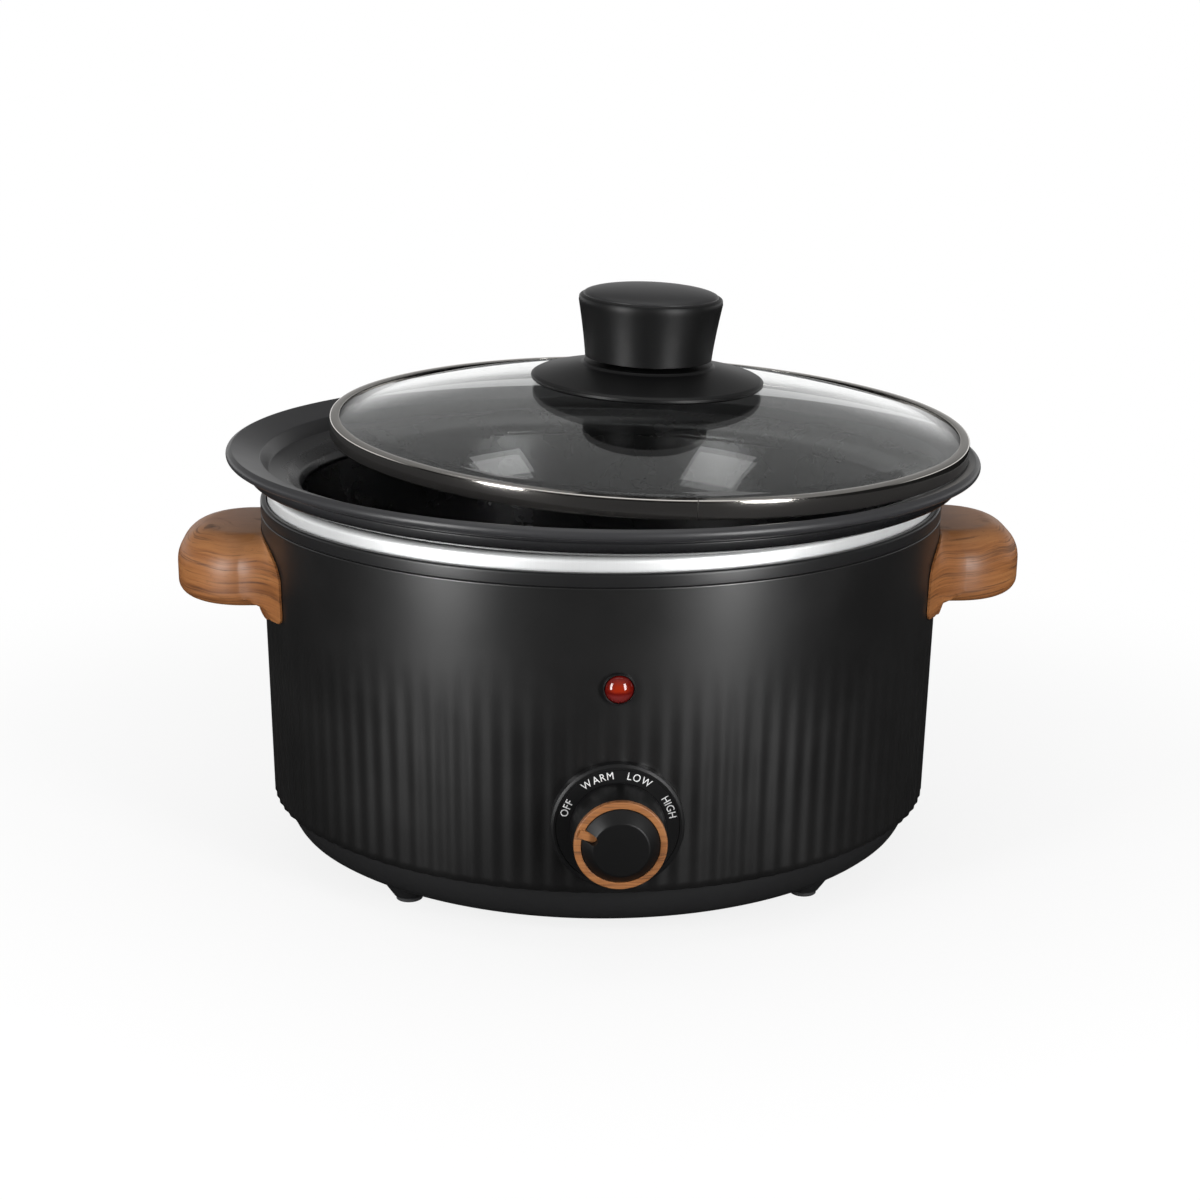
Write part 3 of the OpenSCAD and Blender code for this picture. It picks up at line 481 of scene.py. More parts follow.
def speckled(scale, first, second, detail=3.0):
    return lambda field: {"Base Color": grain(objectSpace(field), scale, detail).blend((*first, 1), (*second, 1))}


def scuffed(scale, rough):
    return lambda field: {"Roughness": grain(objectSpace(field), scale) * 0.2 + rough}


def woolMat(field):
    tone = speckled(900, (0.62, 0.6, 0.52), (0.84, 0.82, 0.75), 5)(field)
    return {**tone, "Normal": grain(objectSpace(field), 1500, 4).bump(0.8, 0.0006)}


finishes = {  # one for each material slot of the record
    "housing_black": finishOf("powderCoatBlack", {"Specular IOR Level": 0.9}, powderCoat),
    "trim_black": finishOf("trimPlastic", {}, satinPlastic(0.009, 0.34)),
    "pan_aluminium": finishOf("brushedAluminium", {"Metallic": 0.6}, brushedCollar),
    "element_steel": finishOf("heaterSteel", {"Metallic": 1.0, "Base Color": (0.45, 0.42, 0.36, 1)},
                              scuffed(300, 0.35)),
    "plated_steel": finishOf("platedSteel", {"Metallic": 1.0, "Base Color": (0.62, 0.63, 0.64, 1)},
                             scuffed(900, 0.22)),
    "glass_wool": finishOf("fibreMat", {"Roughness": 0.9}, woolMat),
    "fuse_ceramic": finishOf("fuseCeramic", {"Roughness": 0.5}, speckled(700, (0.66, 0.6, 0.5), (0.78, 0.73, 0.64))),
    "base_plastic": finishOf("baseMoulding", {}, satinPlastic(0.013, 0.42)),
    "pad_rubber": finishOf("padRubber", {}, satinPlastic(0.03, 0.75)),
    "handle_wood": finishOf("walnut", {}, walnut()),
    "dial_plastic": finishOf("dialPlastic", {"Specular IOR Level": 0.3}, satinPlastic(0.006, 0.4)),
    "switch_plastic": finishOf("switchPhenolic", {}, satinPlastic(0.09, 0.5)),
    "lens_red": finishOf("redLens", {"Coat Weight": 0.3, "Coat Roughness": 0.08}, redLens),
    "lamp_glass": finishOf("neonGlass", {"Transmission Weight": 0.8},
                           speckled(500, (0.9, 0.6, 0.4), (0.95, 0.7, 0.5))),
    "gland_rubber": finishOf("glandRubber", {}, satinPlastic(0.018, 0.7)),
    "block_plastic": finishOf("blockPlastic", {}, satinPlastic(0.6, 0.5)),
    "wire_brown": finishOf("wireBrown", {}, speckled(300, (0.12, 0.045, 0.018), (0.17, 0.065, 0.028))),
    "wire_blue": finishOf("wireBlue", {}, speckled(300, (0.025, 0.07, 0.27), (0.035, 0.1, 0.34))),
    "wire_red": finishOf("wireRed", {}, speckled(300, (0.25, 0.035, 0.026), (0.32, 0.05, 0.035))),
    "wire_black": finishOf("wireBlack", {}, satinPlastic(0.025, 0.5)),
    "knob_plastic": finishOf("knobPhenolic", {"Specular IOR Level": 0.32}, satinPlastic(0.0035, 0.42)),
    "crock_glaze": finishOf("blackGlaze", {}, stonewareGlaze),
    "lid_glass": finishOf("lidGlass", {"Transmission Weight": 1.0, "IOR": 1.46, "Base Color": (0.96, 0.975, 0.97, 1)},
                          clearGlass),
    "band_steel": finishOf("bandSteel", {"Metallic": 1.0}, bandSteel),
}
woodRing = finishOf("walnutRing", {}, walnut(1.6))
# painted light: the lid knob's crown is the same plastic as the knob, painted lighter for the light that falls on its
# top
crownPaintedLighter = finishOf("crownPaintedLighter", {}, satinPlastic(0.02, 0.42))
ink = finishOf("whiteInk", {"Roughness": 0.5}, speckled(4000, (0.62, 0.62, 0.62), (0.78, 0.78, 0.78)))
slotOf = {row["node"]: row["material_slot"] for row in frame["record"]["subparts"]}
for name, piece in frame["nodes"].items():
    piece.data.materials.clear()
    piece.data.materials.append(finishes[slotOf[name]])
print("finishes made")

housing = {"bottom": 26.7, "height": 124.3, "wall": 1.2, "taper": 1.6, "fluteCount": 104, "fluteDepth": 0.48,
           "fadeTop": 121.0, "fullBelow": 66.0, "pointsPerFlute": 12, "fadeRows": 12, "plainRows": (130, 140),
           "lowRows": (30, 45, 62), "hem": 0.25, "wallFade": 35.0}
seamZ = housing["bottom"] + housing["height"]


def housingHalf(z):
    return oval["halfLength"] - housing["taper"] * (seamZ - z) / housing["height"]


def frontOf(z):
    return housingHalf(z) - oval["difference"]


def wallDistance(x, z):  # how far the wall's face stands in front of the centre plane
    return math.sqrt(sideRadius(housingHalf(z)) ** 2 - x * x) - sideCentre


def fluteTree():  # presses round-bottomed flutes into a wall along its stored outward direction
    tree = bpy.data.node_groups.new("pressedFlutes", "GeometryNodeTree")
    sockets = [("Geometry", "NodeSocketGeometry"), ("Flutes", "NodeSocketInt"), ("Depth", "NodeSocketFloat"),
               ("Fade top", "NodeSocketFloat"), ("Full below", "NodeSocketFloat"), ("Finish", "NodeSocketMaterial")]
    for name, kind in sockets:
        tree.interface.new_socket(name, in_out="INPUT", socket_type=kind)
    tree.interface.new_socket("Geometry", in_out="OUTPUT", socket_type="NodeSocketGeometry")
    start = tree.nodes.new("NodeGroupInput")
    given = {name: Field(tree, start.outputs[name]) for name, _ in sockets}
    field = Field(tree)
    named = {"Share": "FLOAT", "Skin": "FLOAT", "Outward": "FLOAT_VECTOR"}
    stored = {name: field.node("GeometryNodeInputNamedAttribute", {"data_type": kind}, {"Name": name.lower()})
              for name, kind in named.items()}
    height = field.node("GeometryNodeInputPosition").part("Z")
    fade = height.ease(given["Fade top"], given["Full below"])
    wave = 0.5 - 0.5 * (stored["Share"] * given["Flutes"] * (2 * math.pi)).alone("COSINE")
    depth = fade * wave * stored["Skin"] * given["Depth"] * -1
    offset = field.node("ShaderNodeVectorMath", {"operation": "SCALE"}, {0: stored["Outward"], "Scale": depth})
    pressed = field.node("GeometryNodeSetPosition", {}, {"Geometry": given["Geometry"], "Offset": offset})
    whole = field.node("GeometryNodeRealizeInstances", {}, {"Geometry": pressed})
    shown = field.node("GeometryNodeSetMaterial", {}, {"Geometry": whole, "Material": given["Finish"]})
    end = tree.nodes.new("NodeGroupOutput")
    tree.links.new(shown.socket, end.inputs[0])
    return tree


def makeHousing():
    count = housing["fluteCount"] * housing["pointsPerFlute"]
    bottom, hem, fadeTop, fullBelow = (housing[key] for key in ("bottom", "hem", "fadeTop", "fullBelow"))
    fade = [fullBelow + (fadeTop - fullBelow) * k / housing["fadeRows"] for k in range(housing["fadeRows"] + 1)]
    outer = [bottom + hem, *housing["lowRows"], *fade, *housing["plainRows"], seamZ - 0.6, seamZ - 0.2]
    rows = [(hem, bottom, 1)] + [(0, z, 1) for z in outer] + [(hem, seamZ - 0.02, 1)]
    for z in (seamZ, fadeTop, fullBelow, bottom):  # the inner face stands back where the flutes are deep
        full = min(1, max(0, (fadeTop - z) / housing["wallFade"]))
        rows.append((housing["wall"] + housing["fluteDepth"] * full, z, 0))
    points, share, skin, outward = [], [], [], []
    for inset, z, outside in rows:
        for i in range(count):
            angle = ovalAngle(i / count)
            points.append((*ovalPoint(housingHalf(z) - inset, angle), z))
            share.append(i / count)
            skin.append(float(outside))
            outward += [math.cos(angle), math.sin(angle), 0.0]
    wall = meshOf("flutedHousing", points, gridFaces(len(rows), count, closedRows=True), sharp=60)
    for name, kind, values, key in (("share", "FLOAT", share, "value"), ("skin", "FLOAT", skin, "value"),
                                    ("outward", "FLOAT_VECTOR", outward, "vector")):
        wall.data.attributes.new(name, kind, "POINT").data.foreach_set(key, values)
    tree = fluteTree()
    press = wall.modifiers.new("flutes", "NODES")
    press.node_group = tree
    ids = {item.name: item.identifier for item in tree.interface.items_tree if item.in_out == "INPUT"}
    press[ids["Flutes"]] = housing["fluteCount"]
    press[ids["Depth"]] = housing["fluteDepth"] * mm
    press[ids["Fade top"]] = fadeTop * mm
    press[ids["Full below"]] = fullBelow * mm
    press[ids["Finish"]] = finishes["housing_black"]
    bake(wall)
    dress(wall, "cooker_base", "housing_black", "housing")


makeHousing()

trim = {"height": 5.6, "width": 2.4, "skirt": 6.0, "skirtWall": 0.9, "step": 0.5}
half = oval["halfLength"]
trimTop = seamZ + trim["height"]
trimInner = half - trim["width"]
trimSkirt = trimInner + trim["skirtWall"]
dress(ovalSweep("trimRing", rounded([
    (trimInner, seamZ - trim["skirt"]), (trimSkirt, seamZ - trim["skirt"]), (trimSkirt, seamZ),
    (half - trim["step"], seamZ), (half, seamZ + trim["step"]), (half, trimTop, 1.6), (trimInner, trimTop, 0.4)])),
    "cooker_base", "trim_black", "trim_ring")

bowl = {"lipOut": 14.4, "lipHeight": 13.0, "wall": 5.5, "floor": 8.5, "floorZ": 39.5, "draft": 14.5, "corner": 16.0,
        "innerCorner": 16.0, "topIn": 12.5, "topDrop": 7.1, "creaseOut": 0.3, "creaseRise": 8.7, "lean": 0.64,
        "pivotDrop": 56.0, "rest": 0.33, "restIn": 5.0}
pan = {"gap": 2.6, "wall": 1.0, "rim": 11.2, "rimRadius": 2.4, "rimIn": 0.6}
panTop = seamZ + pan["rim"]
pivotZ = seamZ - bowl["pivotDrop"]
lean = math.radians(bowl["lean"])
ledge = panTop + bowl["rest"] + (half - bowl["restIn"]) * math.sin(lean)  # where the lip's shelf begins
lipZ = ledge + bowl["lipHeight"]
crease, creaseZ = half + bowl["creaseOut"], ledge + bowl["creaseRise"]
bowlTop, bowlTopZ = half - bowl["topIn"], ledge - bowl["topDrop"]
bowlLow = bowlTop - bowl["draft"]
cornerHalf, cornerZ = bowlLow - bowl["corner"], bowl["floorZ"] + bowl["corner"]
bowlPlace = (ovalPlace @ Matrix.Translation((0, 0, pivotZ)) @ Matrix.Rotation(lean, 4, "Y")
             @ Matrix.Translation((0, 0, -pivotZ)))


def bowlHalf(z):
    return bowlLow + bowl["draft"] * (z - cornerZ) / (bowlTopZ - cornerZ)


def makePan():
    rim, roll, wall = trimInner - pan["rimIn"], pan["rimRadius"], pan["wall"]
    crest, radius = rim - roll, bowl["corner"] + pan["gap"]
    outer = arcPoints(cornerHalf, cornerZ, radius + wall, -90, -8, 10)
    inner = arcPoints(cornerHalf, cornerZ, radius, -8, -90, 10)
    collar = [(bowlHalf(bowlTopZ) + pan["gap"] + wall, bowlTopZ - 0.3), (crest - 1.7, panTop - 2.7, 1.5),
              (crest - 0.4, panTop - wall)] + arcPoints(crest, panTop - roll, roll - wall, 90, 0, 8)
    collar += [(rim - wall, seamZ - 1), (rim, seamZ - 1)] + arcPoints(crest, panTop - roll, roll, 0, 90, 10)
    collar += [(crest - 0.8, panTop), (crest - 2.6, panTop - 2.2, 1.5)]
    collar += [(bowlHalf(bowlTopZ) + pan["gap"], bowlTopZ, 3)]
    dress(ovalDish("panShell", outer + rounded(collar) + inner), "cooker_base", "pan_aluminium", "heating_pan")


def makeBowl():
    innerHalf = bowlLow - bowl["wall"] + 0.2 - bowl["innerCorner"]
    innerZ = bowl["floorZ"] + bowl["floor"] + bowl["innerCorner"]
    lip, edge = half + bowl["lipOut"], half + 5.4
    shell = [
        (bowlTop, bowlTopZ, 2), (bowlTop + 0.9, ledge - 4.1, 2), (half - 10.1, ledge - 1.6, 0.8),
        (half - 7.7, ledge, 0.6), (half + 1.5, ledge, 1), (edge, ledge + 1.9, 1.4), (edge + 0.5, ledge + 5.5, 0.4),
        (edge - 0.3, ledge + 6, 0.4), (edge + 0.3, ledge + 6.7, 0.6), (lip - 4.4, ledge + 7.9, 2.5)]
    shell += arcPoints(lip - 2.1, lipZ - 2.4, 2.1, -60, 60, 10)
    shell += [(lip - 2.2, lipZ, 0.8), (crease, creaseZ, 1.2), (half - 2.3, ledge + 4.6, 0.8),
              (half - 3.1, ledge + 3.4, 0.8), (half - 11, ledge + 1.1, 2.5), (half - 15.8, ledge - 1.9, 3),
              (bowlTop - bowl["wall"], bowlTopZ, 3)]
    profile = arcPoints(cornerHalf, cornerZ, bowl["corner"], -90, -8, 10) + rounded(shell)
    profile += arcPoints(innerHalf, innerZ, bowl["innerCorner"], -8, -90, 12)
    dress(ovalDish("stoneBowl", profile, place=bowlPlace), "crock", "crock_glaze", "crock")


makePan()
makeBowl()
print("housing, pan and bowl made")

base = {"under": 8.7, "wall": 2.0, "curve": 11.0, "inset": 5.0, "shelf": 0.3, "fit": 0.3, "rim": 6.0}
skirt = housingHalf(housing["bottom"]) - housing["fluteDepth"] - housing["wall"] - base["fit"]
turn = skirt - base["inset"] - base["curve"] + housing["wall"] + base["fit"]
shelfZ = housing["bottom"] - base["shelf"]
drop = shelfZ - base["under"]


def quarter(width, depth, steps=14):
    return [(turn + width * math.cos(t), shelfZ + depth * math.sin(t))
            for t in (-math.pi / 2 * (1 - k / steps) for k in range(steps + 1))]


skirtIn, rimZ = skirt - base["wall"], shelfZ + base["rim"]
outerCurve, innerCurve = quarter(base["curve"], drop), quarter(base["curve"] - base["wall"], drop - base["wall"])
rimLine = [(skirt, shelfZ), (skirt, rimZ), (skirtIn, rimZ), (skirtIn, shelfZ + base["wall"])]
dress(ovalDish("basePan", outerCurve + rimLine + innerCurve[::-1]), "cooker_base", "base_plastic", "base_pan")
print("base made")

handle = {"reach": 180.6, "depth": 70.0, "under": 115.0, "thick": 29.0, "corner": 30.0, "topEdge": 15.0,
          "lowEdge": 6.0, "lipDrop": 5.0, "lipThick": 1.9, "lipFlare": 1.8, "lipOver": 7.8, "gap": 0.3,
          "inside": 16.0, "cornerSteps": 18, "lipSteps": 40}
foot = {"lowSpread": 50.0, "highSpread": 24.0, "edge": 1.2, "top": 143.8, "straight": 129.0, "lift": 2.5, "rows": 20,
        "steps": 12, "turn": 70.0, "stretch": 1.35, "cut": 2.5, "buried": 3.0, "steep": 9.0}


def handleRing(inset, z, side):  # half a rounded outline, seen from above, open towards the housing
    radius, steps = handle["corner"] - inset, handle["cornerSteps"]
    centre, spread = handle["reach"] - handle["corner"], handle["depth"] / 2 - handle["corner"]
    start = oval["halfLength"] - handle["inside"]
    line = [(start, -spread - radius)] + arcPoints(centre, -spread, radius, -90, 0, steps)
    line += arcPoints(centre, spread, radius, 0, 90, steps) + [(start, spread + radius)]
    return [(side * x, y, z) for x, y in line]


def aroundEnd(side, spots):  # from radius, turn and height about one end's centre
    return [(side * (endCentre + radius * math.cos(turned)), radius * math.sin(turned), z)
            for radius, turned, z in spots]


def fallenAway(z, span):  # 0 up to where the foot's sides are straight, then 1 at the span above it
    return 1 - math.sqrt(1 - (max(0, z - foot["straight"]) / (span + 0.1)) ** 2)


def makeFoot(side):  # hugs the housing's wall in hollow fillets, and spreads towards its bottom
    bottom, points = handle["under"] - handle["lipDrop"], []
    narrowing, slope = foot["lowSpread"] - foot["highSpread"], foot["top"] - foot["straight"]
    for k in range(foot["rows"] + 1):
        z = bottom + (foot["top"] - bottom) * k / foot["rows"]
        spread = foot["lowSpread"] - narrowing * fallenAway(z, slope)
        flank = handle["depth"] / 2 - handle["topEdge"] * fallenAway(z, handle["topEdge"]) - 0.1
        hollow = (spread - flank) * foot["stretch"]
        spread -= foot["cut"] * max(0, 1 - k / 2) ** 2  # rounds the lower corners
        above = (z - bottom) / handle["lipDrop"]
        most = handle["lipThick"] + handle["lipFlare"] * above + foot["steep"] * max(0, above - 1)
        turns = [math.radians(foot["turn"]) * i / foot["steps"] for i in range(foot["steps"] + 1)]
        fillet = [(spread - hollow * math.sin(t), foot["edge"] + (hollow - foot["edge"]) * (1 - math.cos(t)))
                  for t in turns]
        wall = housingHalf(z) - endCentre
        ring = [(wall + min(thick, most), math.asin(away / wall),
                 z + foot["lift"] * (away / spread) ** 2 * (1 - k / foot["rows"]))
                for away, thick in [(-away, thick) for away, thick in fillet] + fillet[::-1]]
        ring += [(wall - foot["buried"], turned, height) for _, turned, height in ring[::-1]]
        points += aroundEnd(side, ring)
    width = len(ring)
    faces = gridFaces(foot["rows"] + 1, width) + stripFaces(0, width) + stripFaces(foot["rows"], width)
    return tidyMesh(meshOf("foot", points, faces), 1e-5)


def makeLip(side):
    low = handle["under"]
    outer, root = oval["halfLength"] + handle["lipThick"], oval["halfLength"] - handle["inside"] + 1
    flared, bottom, over = outer + handle["lipFlare"], low - handle["lipDrop"], low + handle["lipOver"]
    reach = math.asin((handle["depth"] / 2 - 0.4) / (flared - endCentre))
    section = rounded([(root, bottom), (outer, bottom, 1.8), (flared, low + 1, 3), (flared, over), (root, over)])
    count, size, points = handle["lipSteps"], len(section), []
    for i in range(count + 1):
        points += aroundEnd(side, [(along - endCentre, reach * (2 * i / count - 1), z) for along, z in section])
    faces = gridFaces(count + 1, size) + [tuple(range(size)), tuple(count * size + j for j in range(size))]
    return tidyMesh(meshOf("lip", points, faces), 1e-5)


def makeHandle(name, side, node):
    low, high = handle["under"], handle["under"] + handle["thick"]
    edge = arcPoints(handle["lowEdge"], low + handle["lowEdge"], handle["lowEdge"], -90, -180, 8)
    edge += arcPoints(handle["topEdge"], high - handle["topEdge"], handle["topEdge"], 180, 90, 16)
    rings = [handleRing(inset, z, side) for inset, z in edge]
    width, last = len(rings[0]), len(rings) - 1
    faces = gridFaces(len(rings), width, closedColumns=False) + stripFaces(0, width) + stripFaces(last, width)
    faces += [(j * width, (j + 1) * width, (j + 2) * width - 1, (j + 1) * width - 1) for j in range(last)]  # its root
    grip = tidyMesh(meshOf(name, [point for ring in rings for point in ring], faces), 1e-5)
    combine(grip, makeLip(side), "UNION")
    combine(grip, makeFoot(side), "UNION")
    cutLow, cutHigh, middle = 90, 160, 60  # clears the room that the housing takes
    cutter = ovalSweep("cutter", [(middle, cutLow), (housingHalf(cutLow) + handle["gap"], cutLow),
                                  (housingHalf(cutHigh) + handle["gap"], cutHigh), (middle, cutHigh)])
    combine(grip, cutter, "DIFFERENCE", 40)
    dress(grip, "cooker_base", "handle_wood", node)


makeHandle("handleRight", 1, "right_handle")
makeHandle("handleLeft", -1, "left_handle")
print("handles made")

dial = {"z": 56.2, "diameter": 51.7, "proud": 3.8, "edge": 0.9, "hole": 9.0, "back": 8.0, "letter": 3.0,
        "letterRadius": 21.5, "narrow": 0.88, "boldness": -0.01, "spacing": 0.58, "capShare": 0.69,
        "words": {"OFF": 157.5, "WARM": 112.5, "LOW": 67.5, "HIGH": 22.5}}
dialFace = frontOf(dial["z"]) + dial["proud"]


def seatOnWall(piece, low, gap=0.15):  # points behind this distance are brought out to the wall's face
    for vertex in piece.data.vertices:
        if shiftY - vertex.co.y / mm < low:
            vertex.co.y = (shiftY - wallDistance(vertex.co.x / mm, vertex.co.z / mm) - gap) * mm
    return piece


def makeDial():
    radius, edge = dial["diameter"] / 2, dial["edge"]
    groove = [(radius - 1.9, 0), (radius - 2.05, -0.25), (radius - 2.3, -0.25), (radius - 2.45, 0)]
    profile = rounded([(dial["hole"], -dial["back"]), (radius, -dial["back"]), (radius, -edge * 0.7, 0.3),
                       (radius - edge * 1.2, 0, 0.3), *groove, (dial["hole"], 0)])
    plate = lathe("dialFace", profile, frontPlace(dialFace, dial["z"]), 160)
    dress(seatOnWall(plate, dialFace - dial["back"] + 1), "cooker_base", "dial_plastic", "dial_plate")


def glyph(letter):  # its points and faces, and where it begins and ends
    curve = bpy.data.curves.new(letter, "FONT")
    curve.body, curve.size, curve.extrude = letter, dial["letter"] / dial["capShare"], 0.03
    curve.align_x, curve.offset = "CENTER", dial["boldness"]
    shape = bpy.data.objects.new(letter, curve)
    bpy.context.scene.collection.objects.link(shape)
    bpy.context.view_layer.update()
    mesh = bpy.data.meshes.new_from_object(shape.evaluated_get(bpy.context.evaluated_depsgraph_get()))
    bpy.data.objects.remove(shape)
    points = [Vector((v.co.x * dial["narrow"], v.co.y, v.co.z)) for v in mesh.vertices]
    faces = [tuple(f.vertices) for f in mesh.polygons]
    bpy.data.meshes.remove(mesh)
    return points, faces, min(p.x for p in points), max(p.x for p in points)


def makeWords():
    points, faces = [], []
    for word, middle in dial["words"].items():
        glyphs = [glyph(letter) for letter in word]
        along = -(sum(high - low for *_, low, high in glyphs) + dial["spacing"] * (len(glyphs) - 1)) / 2
        for own, shapes, low, high in glyphs:
            centre = along + (high - low) / 2
            along += high - low + dial["spacing"]
            angle = math.radians(middle) - centre / (dial["letterRadius"] - 0.2 * dial["letter"])
            place = (frontPlace(dialFace + 0.02, dial["z"]) @ Matrix.Rotation(angle - math.pi / 2, 4, "Z")
                     @ Matrix.Translation((-(low + high) / 2, dial["letterRadius"] - dial["letter"] / 2, 0)))
            faces += [tuple(k + len(points) for k in shape) for shape in shapes]
            points += [place @ point for point in own]
    words = meshOf("dialWords", points, faces, Matrix.Identity(4), sharp=30)
    dress(words, "cooker_base", "dial_plastic", material=ink)


makeDial()
makeWords()

control = {"diameter": 37.0, "depth": 17.2, "taper": 0.75, "ringWidth": 2.75, "ringThick": 2.4, "capRise": 4.0,
           "capFlat": 10.7, "pointer": 160.0, "pointerTip": 11.4, "pointerHalf": 1.65, "bore": 3.05, "socket": 4.7}
knobBack = dialFace + 0.5
ringFace = knobBack + control["depth"]
frontRadius = control["diameter"] / 2 - control["taper"]


def pointerBar(name, startRadius, halfWidth, low, high, place):
    outline = [(startRadius, -halfWidth), (startRadius, halfWidth)]
    outline += arcPoints(control["pointerTip"], 0, halfWidth, 90, 270, 12)
    size, points = len(outline), [(x, y, z) for z in (low, high) for x, y in outline]
    faces = gridFaces(2, size) + [tuple(range(size)), tuple(range(size, 2 * size))]
    turned = place @ Matrix.Rotation(math.radians(control["pointer"]), 4, "Z")
    return tidyMesh(meshOf(name, points, faces, turned), 1e-6)


def makeControl():
    radius, inset, depth = control["diameter"] / 2, control["ringThick"], control["depth"]
    bore, boreEnd, seat = control["bore"], control["depth"] - control["socket"], depth - inset - 0.1
    body = lathe("controlBody", rounded([
        (bore, 0.4), (6, 0.4), (6, depth - 6), (frontRadius - 2.2, depth - 6), (radius - 2.2, 0), (radius, 0, 0.5),
        (frontRadius, seat, 0.25), (frontRadius - 2.85, seat), (0.02, seat), (0.02, boreEnd), (bore, boreEnd)]),
        frontPlace(knobBack, dial["z"]), 144)
    dress(body, "control", "knob_plastic", "control_knob")
    place = frontPlace(ringFace - inset, dial["z"])
    ringIn = frontRadius - control["ringWidth"]
    ring = lathe("controlRing", rounded([(ringIn, 0), (frontRadius, 0, 0.2), (frontRadius, inset, 0.6),
                                         (ringIn, inset, 0.3)]), place, 144)
    bar = pointerBar("bar", frontRadius - 1.2, control["pointerHalf"], 0.3, inset + 1.2, place)
    combine(ring, bar, "UNION")
    dress(ring, "control", "handle_wood", "knob_ring", material=woodRing)
    capRadius, rise = ringIn - 0.2, inset + control["capRise"]
    cap = lathe("controlCap", rounded([(0.0, 0), (capRadius, 0), (capRadius, inset, 0.4),
                                       (control["capFlat"], rise, 1.2), (0.0, rise)]), place, 144)
    slot = pointerBar("slot", frontRadius + 3, control["pointerHalf"] + 0.2, -1, rise + 1, place)
    combine(cap, slot, "DIFFERENCE")
    dress(cap, "control", "knob_plastic", "knob_cap")


makeControl()

lamp = {"z": 111.7, "bezel": 12.4, "ring": 0.55, "dome": 6.6}
lampFace = frontOf(lamp["z"]) + 0.5


def makeLamp():
    outer, place = lamp["bezel"] / 2, frontPlace(lampFace, lamp["z"])
    inner = outer - lamp["ring"]
    ringLine = rounded([(inner, -2.5), (outer, -2.5), (outer, 1.5, 0.5), (inner, 1.5, 0.25)])
    bezel = lathe("lampBezel", ringLine, place, 96)
    dress(seatOnWall(bezel, lampFace - 2), "cooker_base", "dial_plastic", "indicator_bezel")
    flange = inner - 0.15
    sink = math.sqrt(lamp["dome"] ** 2 - flange ** 2)
    dome = arcPoints(0, 1 - sink, lamp["dome"], math.degrees(math.acos(flange / lamp["dome"])), 90, 12)
    dome[-1] = (0.0, dome[-1][1])
    stem = [(0.0, 0.6), (2.4, 0.6), (2.4, -6.5), (4.6, -6.5), (4.6, 0), (flange, 0)]
    lens = lathe("lampLens", stem + dome, place, 96)
    dress(lens, "cooker_base", "lens_red", "indicator_lens")


makeLamp()
print("dial, control and lamp made")

lid = {"x": 20.4, "fall": 1.72, "rise": 2.5, "inset": 9.5, "above": 1.0, "lipFlat": 1.5, "bandHeight": 7.8,
       "bandThick": 0.5, "bandTop": 4.0, "glass": 4.0, "dome": 17.6, "rimShare": 0.96, "skirt": 98.2, "waist": 53.2,
       "top": 60.4, "knob": 34.4, "knobShift": -2.2, "gap": 0.15, "knobLean": 2.2, "collar": 7.0, "capRise": 3.7}
lidHalf = half - lid["inset"]
lidRight = lid["x"] + lidHalf
lipSlope = (lipZ - creaseZ) / (bowl["lipOut"] - lid["lipFlat"])
lidZ = (creaseZ + lipSlope * (lidRight - crease) - lidRight * math.sin(lean) + lid["bandHeight"]
        + lidHalf * math.sin(math.radians(lid["fall"])) + lid["above"])  # its right end rests on the lip
lidPlace = (Matrix.Translation((lid["x"], shiftY, lidZ)) @ Matrix.Rotation(math.radians(lid["fall"]), 4, "Y")
            @ Matrix.Rotation(math.radians(lid["rise"]), 4, "X"))
knobPlace = (lidPlace @ Matrix.Translation((lid["knobShift"], 0, lid["dome"]))
             @ Matrix.Rotation(-math.radians(lid["knobLean"]), 4, "X") @ Matrix.Translation((0, 0, -lid["dome"])))
glassHalf = lidHalf - lid["bandThick"] - lid["gap"]
glassEdge = -lid["bandThick"] - lid["gap"]


def domeHeight(share):  # flat at the rim, then a dome
    return glassEdge + (lid["dome"] - glassEdge) * max(0, 1 - (share / lid["rimShare"]) ** 2)


def makeGlass():
    count, steps = 256, 24
    shares = [1, 0.98] + [lid["rimShare"] * (1 - k / steps) for k in range(steps)]
    rows = [(s, domeHeight(s) - lid["glass"]) for s in shares[::-1]] + [(s, domeHeight(s)) for s in shares]
    outline = [ovalPoint(glassHalf, ovalAngle(i / count)) for i in range(count)]
    points = [(x * s, y * s, z) for s, z in rows for x, y in outline]
    faces = gridFaces(len(rows), count)
    for row, z in ((0, domeHeight(0) - lid["glass"]), (len(rows) - 1, domeHeight(0))):
        faces += fanFaces(row, count, len(points))
        points.append((0, 0, z))
    dress(meshOf("lidGlass", points, faces, lidPlace, sharp=50), "lid", "lid_glass", "lid_glass")


def makeBand():
    low, t, top = glassEdge - lid["glass"] - lid["gap"], lid["bandThick"], lid["bandTop"]
    bottom = -lid["bandHeight"]
    band = ovalSweep("lidBand", rounded([
        (lidHalf - top, 0, 0.15), (lidHalf, 0, 0.9), (lidHalf, bottom, 1.0), (lidHalf - 1.6, bottom, 0.1),
        (lidHalf - 1.6, bottom + t), (lidHalf - 0.9, bottom + t), (lidHalf - t, bottom + 1.0), (lidHalf - t, low - t),
        (lidHalf - top, low - t), (lidHalf - top, low), (lidHalf - t, low), (lidHalf - t, -t), (lidHalf - top, -t)]),
        place=lidPlace)
    dress(band, "lid", "band_steel", "lid_band")


